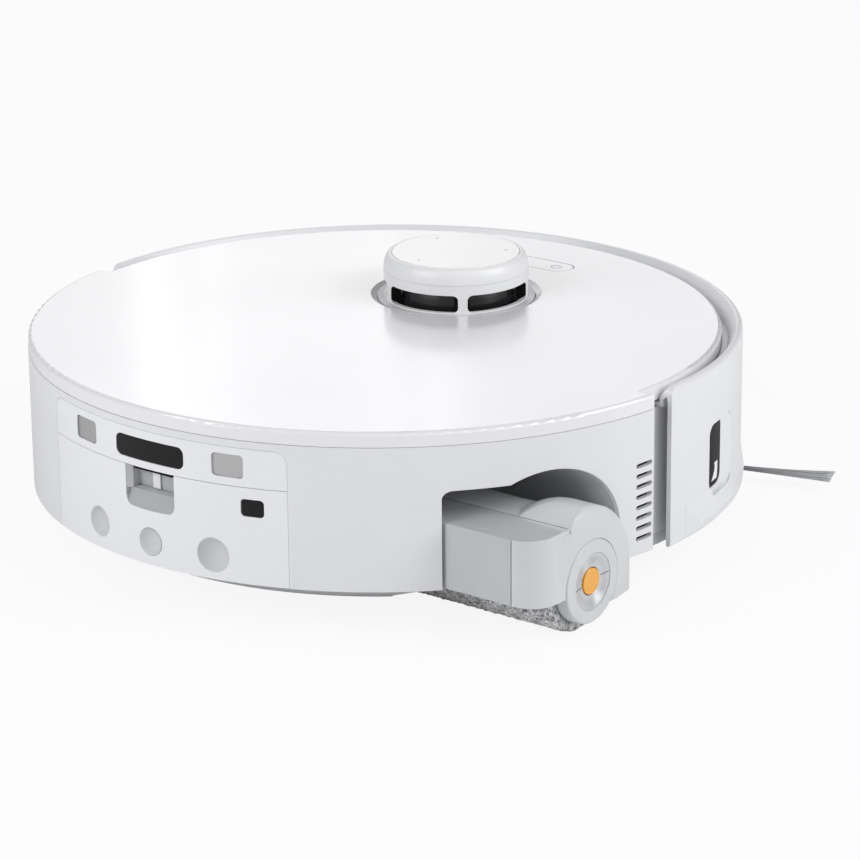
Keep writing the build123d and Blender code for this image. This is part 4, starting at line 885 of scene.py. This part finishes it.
@dataclass
class Turret:
    """Laser turret."""

    centre_y: float = 57.0 * MM
    posts: int = 5
    post_angle: float = -47.3
    # Distance from the turret's middle, and from the post's middle plane, of a shade sheet's two edges.
    jamb_shade_inner: tuple[float, float] = (31.45 * MM, 3.8 * MM)
    jamb_shade_outer: tuple[float, float] = (36.1 * MM, 2.39 * MM)
    jamb_shade_gaps: tuple[float, float] = (0.2 * MM, 1.0 * MM)  # Under and over a shade sheet.
    jamb_shade_steps: int = 4
    microphone_reach: float = 25.0 * MM
    microphone_radius: float = 0.7 * MM
    microphone_angles: tuple[float, ...] = (39.0, 150.0, 260.0)
    microphone_sides: int = 16

    def build(self) -> None:
        """Dresses the turret."""
        dress(TURRET_WHITE_AND_HIGHLIGHT, ["turret_cap"])
        dress(DISC_SATIN, ["turret_top_disc"])
        dress(BASE_GREY, ["lidar_base"])
        self.microphones()
        self.jamb_shades()
        dress(DRUM_BLACK, ["lidar_rotor"])
        dress(MOTOR_STEEL, ["lidar_motor"])
        dress(CORE_GREY, ["lidar_motor_pulley"])
        dress(SCRAPER, ["lidar_belt"])

    def jamb_shades(self) -> None:
        """Sets a black sheet of painted shade on both sides of each post, from the wall in towards the
        spinning head.
        """
        heights = spaced(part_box("lidar_base")[1].z + self.jamb_shade_gaps[0],
                         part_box("lidar_rotor")[1].z - self.jamb_shade_gaps[1], self.jamb_shade_steps)
        made = bmesh.new()
        for k in range(self.posts):
            out = compass(self.post_angle + 360 / self.posts * k)
            across = UP.cross(out)
            for side in (-1, 1):
                near, far = (AHEAD * self.centre_y + out * reach + across * side * aside
                             for reach, aside in (self.jamb_shade_inner, self.jamb_shade_outer))
                row = [near.lerp(far, share) for share in spaced(0.0, 1.0, self.jamb_shade_steps)]
                add_sheet(made, [[spot + UP * z for spot in row] for z in heights])
        make_piece("turret_jamb_shade_sheets", made, BLACK_SHADE_AND_JOINT, "main_body")

    def microphones(self) -> None:
        """Sets three tiny microphone holes in the top disc, as dark dots of painted shade."""
        tree = surface_of("turret_top_disc")
        above = Vector((0.0, self.centre_y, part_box("turret_top_disc")[1].z + OUTSIDE))
        made = bmesh.new()
        for angle in self.microphone_angles:
            middle = above + compass(angle) * self.microphone_reach
            rim = [middle + compass(360 * k / self.microphone_sides) * self.microphone_radius
                   for k in range(self.microphone_sides)]
            made.faces.new([made.verts.new(landed(tree, spot, -UP, LINE)) for spot in rim])
        make_piece("turret_microphone_shade_dots", made, INK_AND_SHADE_GREY, "main_body")


@dataclass
class MopModule:
    """Extending roller mop."""

    axis_y: float = MOP_AXIS_MM[0] * MM
    axis_z: float = MOP_AXIS_MM[1] * MM
    cloth_radius: float = 25.3 * MM
    pile: float = 1.5 * MM  # From the loops' roots to their tips.
    loop: float = 2.3 * MM  # From loop to loop.
    loop_slope: float = 1.15
    curl: float = 0.9 * MM
    curl_size: float = 1.3 * MM
    ruffle_size: float = 0.9 * MM
    ruffle_share: float = 0.28
    curl_seed: int = 7
    rings: int = 330
    around: int = 300
    edge_drop: float = 1.6 * MM
    edge_rings: int = 4
    seam_tilt: float = 6.0
    seam_width: float = 0.3 * MM
    seam_rise: float = 0.03 * MM
    dish_gaps: tuple[float, float] = (1.2 * MM, 0.6 * MM)  # From the button, and from the rim.
    dish_steps: int = 10
    plate_gaps: tuple[float, float] = (0.4 * MM, 0.1 * MM)  # From the plate's two ends.
    plate_steps: int = 60
    plate_depth: float = 1.0 * MM
    search_step: float = 0.1 * MM

    def build(self) -> None:
        """Dresses the module and makes its cloth sleeve."""
        dress(MOP_GREY, ["mop_hood", "mop_end_cap"])
        dress(MOP_BOX_GREY, ["mop_rear_box"])
        dress(MOP_PLATE, ["mop_top_plate"])
        dress(DISH_CHROME, ["mop_dish"])
        dress(RELEASE_ORANGE, ["release_button"])
        dress(CORE_GREY, ["roller_core", "mop_carriage"])
        dress(MOTOR_STEEL, ["roller_motor"])
        dress(ROD_STEEL, ["mop_guide_rods"])
        dress(SCRAPER, ["scraper_blade"])
        self.dish_seam()
        self.plate_seam()
        self.cloth()

    def plate_seam(self) -> None:
        """Draws the shadow joint along the polished plate's inner edge."""
        tree = surface_of("mop_top_plate")
        low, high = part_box("mop_top_plate")
        path = []
        for x in spaced(low.x + self.plate_gaps[0], high.x - self.plate_gaps[1], self.plate_steps):
            spot = Vector((x, high.y, high.z + OUTSIDE))
            while spot.y > low.y and tree.ray_cast(spot, -UP, OUTSIDE + self.plate_depth)[0] is None:
                spot.y -= self.search_step
            path.append(Vector((x, spot.y, high.z)))
        made = bmesh.new()
        add_band(made, path, self.seam_width, UP, self.seam_rise)
        make_piece("mop_plate_seam", made, BLACK_SHADE_AND_JOINT, "mop_module")

    def dish_seam(self) -> None:
        """Draws the seam between the dish's two halves, on both sides of the button."""
        tree = surface_of("mop_dish")
        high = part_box("mop_dish")[1]
        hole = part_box("release_button")[1].z - self.axis_z + self.dish_gaps[0]
        rim = high.z - self.axis_z - self.dish_gaps[1]
        tilt = math.radians(self.seam_tilt)
        made = bmesh.new()
        for side in (-1, 1):
            starts = [Vector((high.x + OUTSIDE, self.axis_y + side * reach * math.cos(tilt),
                              self.axis_z + side * reach * math.sin(tilt)))
                      for reach in spaced(hole, rim, self.dish_steps)]
            path = [landed(tree, spot, -RIGHT) for spot in starts]
            add_band(made, path, self.seam_width, RIGHT, self.seam_rise)
        make_piece("dish_seam", made, BLACK_SHADE_AND_JOINT, "mop_module")

    def loop_height(self, spot: Vector) -> float:
        """Finds how high the loops stand.

        Args:
            spot: A spot of the sleeve.

        Returns:
            The height there, from 0 at the loops' roots to 1 at their tips.
        """
        curled = spot + self.curl * noise.noise_vector(spot / self.curl_size)
        near = noise.voronoi(curled / self.loop)[0]
        crown = max(0.0, 1.0 - self.loop_slope * near[0])
        ruffle = 0.5 + 0.5 * noise.noise(spot / self.ruffle_size)
        return min(1.0, (1.0 - self.ruffle_share) * crown + self.ruffle_share * ruffle)

    def cloth(self) -> None:
        """Builds the looped cloth sleeve over the roller's core."""
        low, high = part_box("roller_cloth")
        noise.seed_set(self.curl_seed)
        made = bmesh.new()
        rows = []
        for i, x in enumerate(spaced(low.x, high.x, self.rings)):
            drop = self.edge_drop * (1.0 - min(1.0, min(i, self.rings - i) / self.edge_rings)) ** 2
            row = []
            for j in range(self.around):
                turn = 2 * math.pi * j / self.around
                way = Vector((0.0, math.cos(turn), math.sin(turn)))
                spot = Vector((x, 0.0, 0.0)) + way * self.cloth_radius
                radius = self.cloth_radius - drop + self.pile * (self.loop_height(spot) - 0.5)
                row.append(made.verts.new((x, self.axis_y + way.y * radius, self.axis_z + way.z * radius)))
            rows.append(row)
        share = (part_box("roller_core")[1].z - self.axis_z) / self.cloth_radius
        rims = [[made.verts.new(Vector((v.co.x, self.axis_y, self.axis_z)).lerp(v.co, share)) for v in row]
                for row in (rows[0], rows[-1])]
        join_rings(made, [rims[0], *rows, rims[1]], closed=True)
        piece = make_piece("mop_cloth_sleeve", made, CLOTH, "mop_roller", smooth=True)
        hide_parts("roller_cloth")


@dataclass
class SideBrush:
    """Side brush: two arms, each with a flat tuft of filaments."""

    angle: float = 21.0
    arms: int = 2
    start: float = 24.5 * MM
    reach: float = 76.0 * MM
    neck_half: float = 1.5 * MM
    tip_half: float = 7.8 * MM
    flare: float = 1.7
    filaments: int = 44
    radius: float = 0.24 * MM
    sides: int = 5
    stations: int = 12
    height: float = 6.9 * MM
    sag: float = 0.6 * MM
    sag_arc: float = 0.62 * math.pi
    sag_pace: float = 1.15  # How fast the sag's arc runs out along the length.
    seed: int = 7
    layer_half: float = 0.75 * MM
    layer_close: float = 0.45  # How much of the layers' height is lost at the tips.
    stray: float = 0.25 * MM
    uneven: float = 0.35 * MM

    def build(self) -> None:
        """Dresses the hub and makes the tufts."""
        dress(ARM_BLACK, ["side_brush_hub"])
        rng = random.Random(self.seed)
        made = bmesh.new()
        for arm in range(self.arms):
            along = compass(self.angle + 360 * arm / self.arms)
            for k in range(self.filaments):
                self.filament(made, along, 2 * k / (self.filaments - 1) - 1, rng)
        piece = make_piece("side_brush_filaments", made, BRISTLE, "side_brush", smooth=True)
        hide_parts("side_brush_bristles")

    def filament(self, made: BMesh, along: Vector, share: float, rng: random.Random) -> None:
        """Adds one filament.

        Args:
            made: The working mesh.
            along: The way that the arm points.
            share: The filament's place across the tuft, from -1 to 1.
            rng: Source of the small differences between filaments.
        """
        layer = rng.uniform(-self.layer_half, self.layer_half)
        stray = rng.gauss(0.0, self.stray)
        end = self.reach - abs(rng.gauss(0.0, self.uneven))
        across = UP.cross(along)
        hub = Vector((BRUSH_HUB_MM[0] * MM, BRUSH_HUB_MM[1] * MM, self.height))
        rings = []
        for t in spaced(0.0, 1.0, self.stations):
            wide = self.neck_half + (self.tip_half - self.neck_half) * t**self.flare
            sag = self.sag * math.sin(self.sag_arc * min(1.0, self.sag_pace * t))
            spot = hub + along * (self.start + (end - self.start) * t) + across * (share * wide + stray * t)
            spot.z += layer * (1 - self.layer_close * t) - sag
            turns = [2 * math.pi * j / self.sides for j in range(self.sides)]
            rings.append([made.verts.new(spot + self.radius * (across * math.cos(turn) + UP * math.sin(turn)))
                          for turn in turns])
        join_rings(made, rings)


@dataclass
class Underside:
    """Pan, wheels, brushes and caster."""

    def build(self) -> None:
        """Dresses the underside."""
        dress(PAN_GREY, ["chassis_pan"])
        dress(BAY_BLACK, ["main_brush_housing", "right_wheel_well", "left_wheel_well"])
        dress(ARM_BLACK, ["main_brush_cover", "right_swing_arm", "left_swing_arm", "caster_fork"])
        dress(WINDOW_BLACK, ["cliff_windows"])
        dress(SCREW_ZINC, ["chassis_screws"])
        dress(HUB_GREY, ["right_wheel_hub", "left_wheel_hub"])
        dress(TYRE_RUBBER, ["right_wheel_tyre", "left_wheel_tyre", "caster_wheel"])
        dress(BRUSH_RUBBER, ["main_brush"])


@dataclass
class InnerUnits:
    """Units under the lid."""

    def build(self) -> None:
        """Dresses the inner units."""
        dress(BATTERY_WRAP, ["battery_pack"])
        dress(BOARD_GREEN, ["main_circuit_board"])
        dress(DUCT_GREY, ["fan_housing", "exhaust_duct"])
        dress(BIN_SMOKE, ["dustbin"])
        dress(BIN_LID, ["dustbin_lid"])
        dress(FILTER_PAPER, ["dust_filter"])
        dress(HUB_GREY, ["fan_impeller"])


# --- studio ---
@dataclass(frozen=True)
class SoftBox:
    """A soft lamp that faces the robot's middle. Angles are in degrees, the rest in metres."""

    name: str
    azimuth: float
    height: float
    reach: float
    size: tuple[float, float]
    radiance: float

    def hang(self) -> None:
        """Hangs the lamp."""
        light = bpy.data.lights.new(self.name, "AREA")
        light.shape = "RECTANGLE"
        light.size, light.size_y = self.size
        light.energy = self.radiance * math.pi * self.size[0] * self.size[1]
        lamp = add_object(self.name, light)
        rise = math.radians(self.height)
        lamp.location = self.reach * (compass(self.azimuth) * math.cos(rise) + UP * math.sin(rise))
        lamp.rotation_mode = "QUATERNION"
        lamp.rotation_quaternion = (-lamp.location).to_track_quat("-Z", "Y")


# The lid mirrors the panels behind the robot, so they step in brightness where a hard edge would show.
SOFT_BOXES = (
    SoftBox("left_box", -106.0, 30.0, 2.2, (1.2, 1.2), 4.55),
    SoftBox("right_box", 20.0, 28.0, 2.2, (1.2, 1.2), 4.6),
    SoftBox("back_box", 131.2, 24.0, 2.5, (0.21, 1.3), 1.13),
    SoftBox("back_box_right_step", 127.9, 24.0, 2.5, (0.08, 1.3), 1.03),
    SoftBox("back_box_right", 121.15, 24.0, 2.5, (0.512, 1.3), 0.92),
    SoftBox("back_box_left_step", 134.6, 24.0, 2.5, (0.09, 1.3), 1.06),
    SoftBox("back_box_left", 150.6, 24.0, 2.5, (1.34, 1.3), 0.98),
    SoftBox("front_fill", 0.0, 45.0, 3.0, (1.6, 1.6), 1.3),
)


@dataclass
class Studio:
    """Floor, light and camera."""

    eye: tuple[float, float, float] = (1.08024, -1.34511, 0.62492)
    look: tuple[float, float, float] = (-0.58394, 0.74584, -0.32052)
    roll: float = -0.0089
    lens: float = 153.62
    floor_half: float = 8.0
    floor_glow: float = 0.90
    room_level: float = 0.30

    def build(self) -> None:
        """Makes the floor, the lamps, the world and the camera."""
        self.floor()
        for box in SOFT_BOXES:
            box.hang()
        self.world()
        self.camera()
        bpy.context.scene.view_settings.view_transform = "Standard"

    def floor(self) -> None:
        """Lays a pale floor that shows white to the camera but keeps the shadow."""
        made = bmesh.new()
        bmesh.ops.create_grid(made, x_segments=2, y_segments=2, size=self.floor_half)
        floor = add_object("studio_floor", as_mesh("studio_floor", made))
        paint = bpy.data.materials.new("studio_floor_paint")
        paint.use_nodes = True
        tree = paint.node_tree
        tree.nodes.clear()
        matt = add_node(tree, "ShaderNodeBsdfDiffuse", {"Color": linear("#F2F2F2")})
        glow = add_node(tree, "ShaderNodeEmission", {"Color": linear("#FFFFFF"), "Strength": 1.0})
        seen = add_node(tree, "ShaderNodeLightPath")
        share = add_node(tree, "ShaderNodeMath", {0: seen.outputs["Is Camera Ray"], 1: self.floor_glow},
                         operation="MULTIPLY")
        both = add_node(tree, "ShaderNodeMixShader",
                        {0: share.outputs["Value"], 1: matt.outputs["BSDF"], 2: glow.outputs["Emission"]})
        add_node(tree, "ShaderNodeOutputMaterial", {"Surface": both.outputs["Shader"]})
        floor.data.materials.append(paint)

    def world(self) -> None:
        """Fills the room with even white light and shows white behind the floor."""
        world = bpy.data.worlds.new("studio_room")
        world.use_nodes = True
        tree = world.node_tree
        tree.nodes.clear()
        seen = add_node(tree, "ShaderNodeLightPath")
        level = add_node(tree, "ShaderNodeMapRange",
                         {"Value": seen.outputs["Is Camera Ray"], "To Min": self.room_level, "To Max": 1.0})
        back = add_node(tree, "ShaderNodeBackground",
                        {"Color": linear("#FFFFFF"), "Strength": level.outputs["Result"]})
        add_node(tree, "ShaderNodeOutputWorld", {"Surface": back.outputs["Background"]})
        bpy.context.scene.world = world

    def camera(self) -> None:
        """Sets the camera."""
        view = bpy.data.cameras.new("studio_camera")
        view.lens = self.lens
        view.sensor_width = 36.0
        view.clip_start = 0.05
        view.clip_end = 60.0
        camera = add_object("studio_camera", view)
        forward = Vector(self.look).normalized()
        level = forward.cross(UP).normalized()
        upright = level.cross(forward)
        right = math.cos(self.roll) * level + math.sin(self.roll) * upright
        up = -math.sin(self.roll) * level + math.cos(self.roll) * upright
        turn = Matrix((right, up, -forward)).transposed().to_4x4()
        camera.matrix_world = Matrix.Translation(Vector(self.eye)) @ turn
        bpy.context.scene.camera = camera


def main() -> None:
    """Builds every sub-assembly and the studio."""
    logging.basicConfig(level=logging.INFO, format="%(message)s")
    for part in (
        Shell(), PowerButton(), TankPorts(), TankLatch(), Turret(), MopModule(), Underside(), SideBrush(),
        InnerUnits(), Studio(),
    ):
        part.build()
        log.info("finished %s", type(part).__name__)


if __name__ == "__main__":
    main()
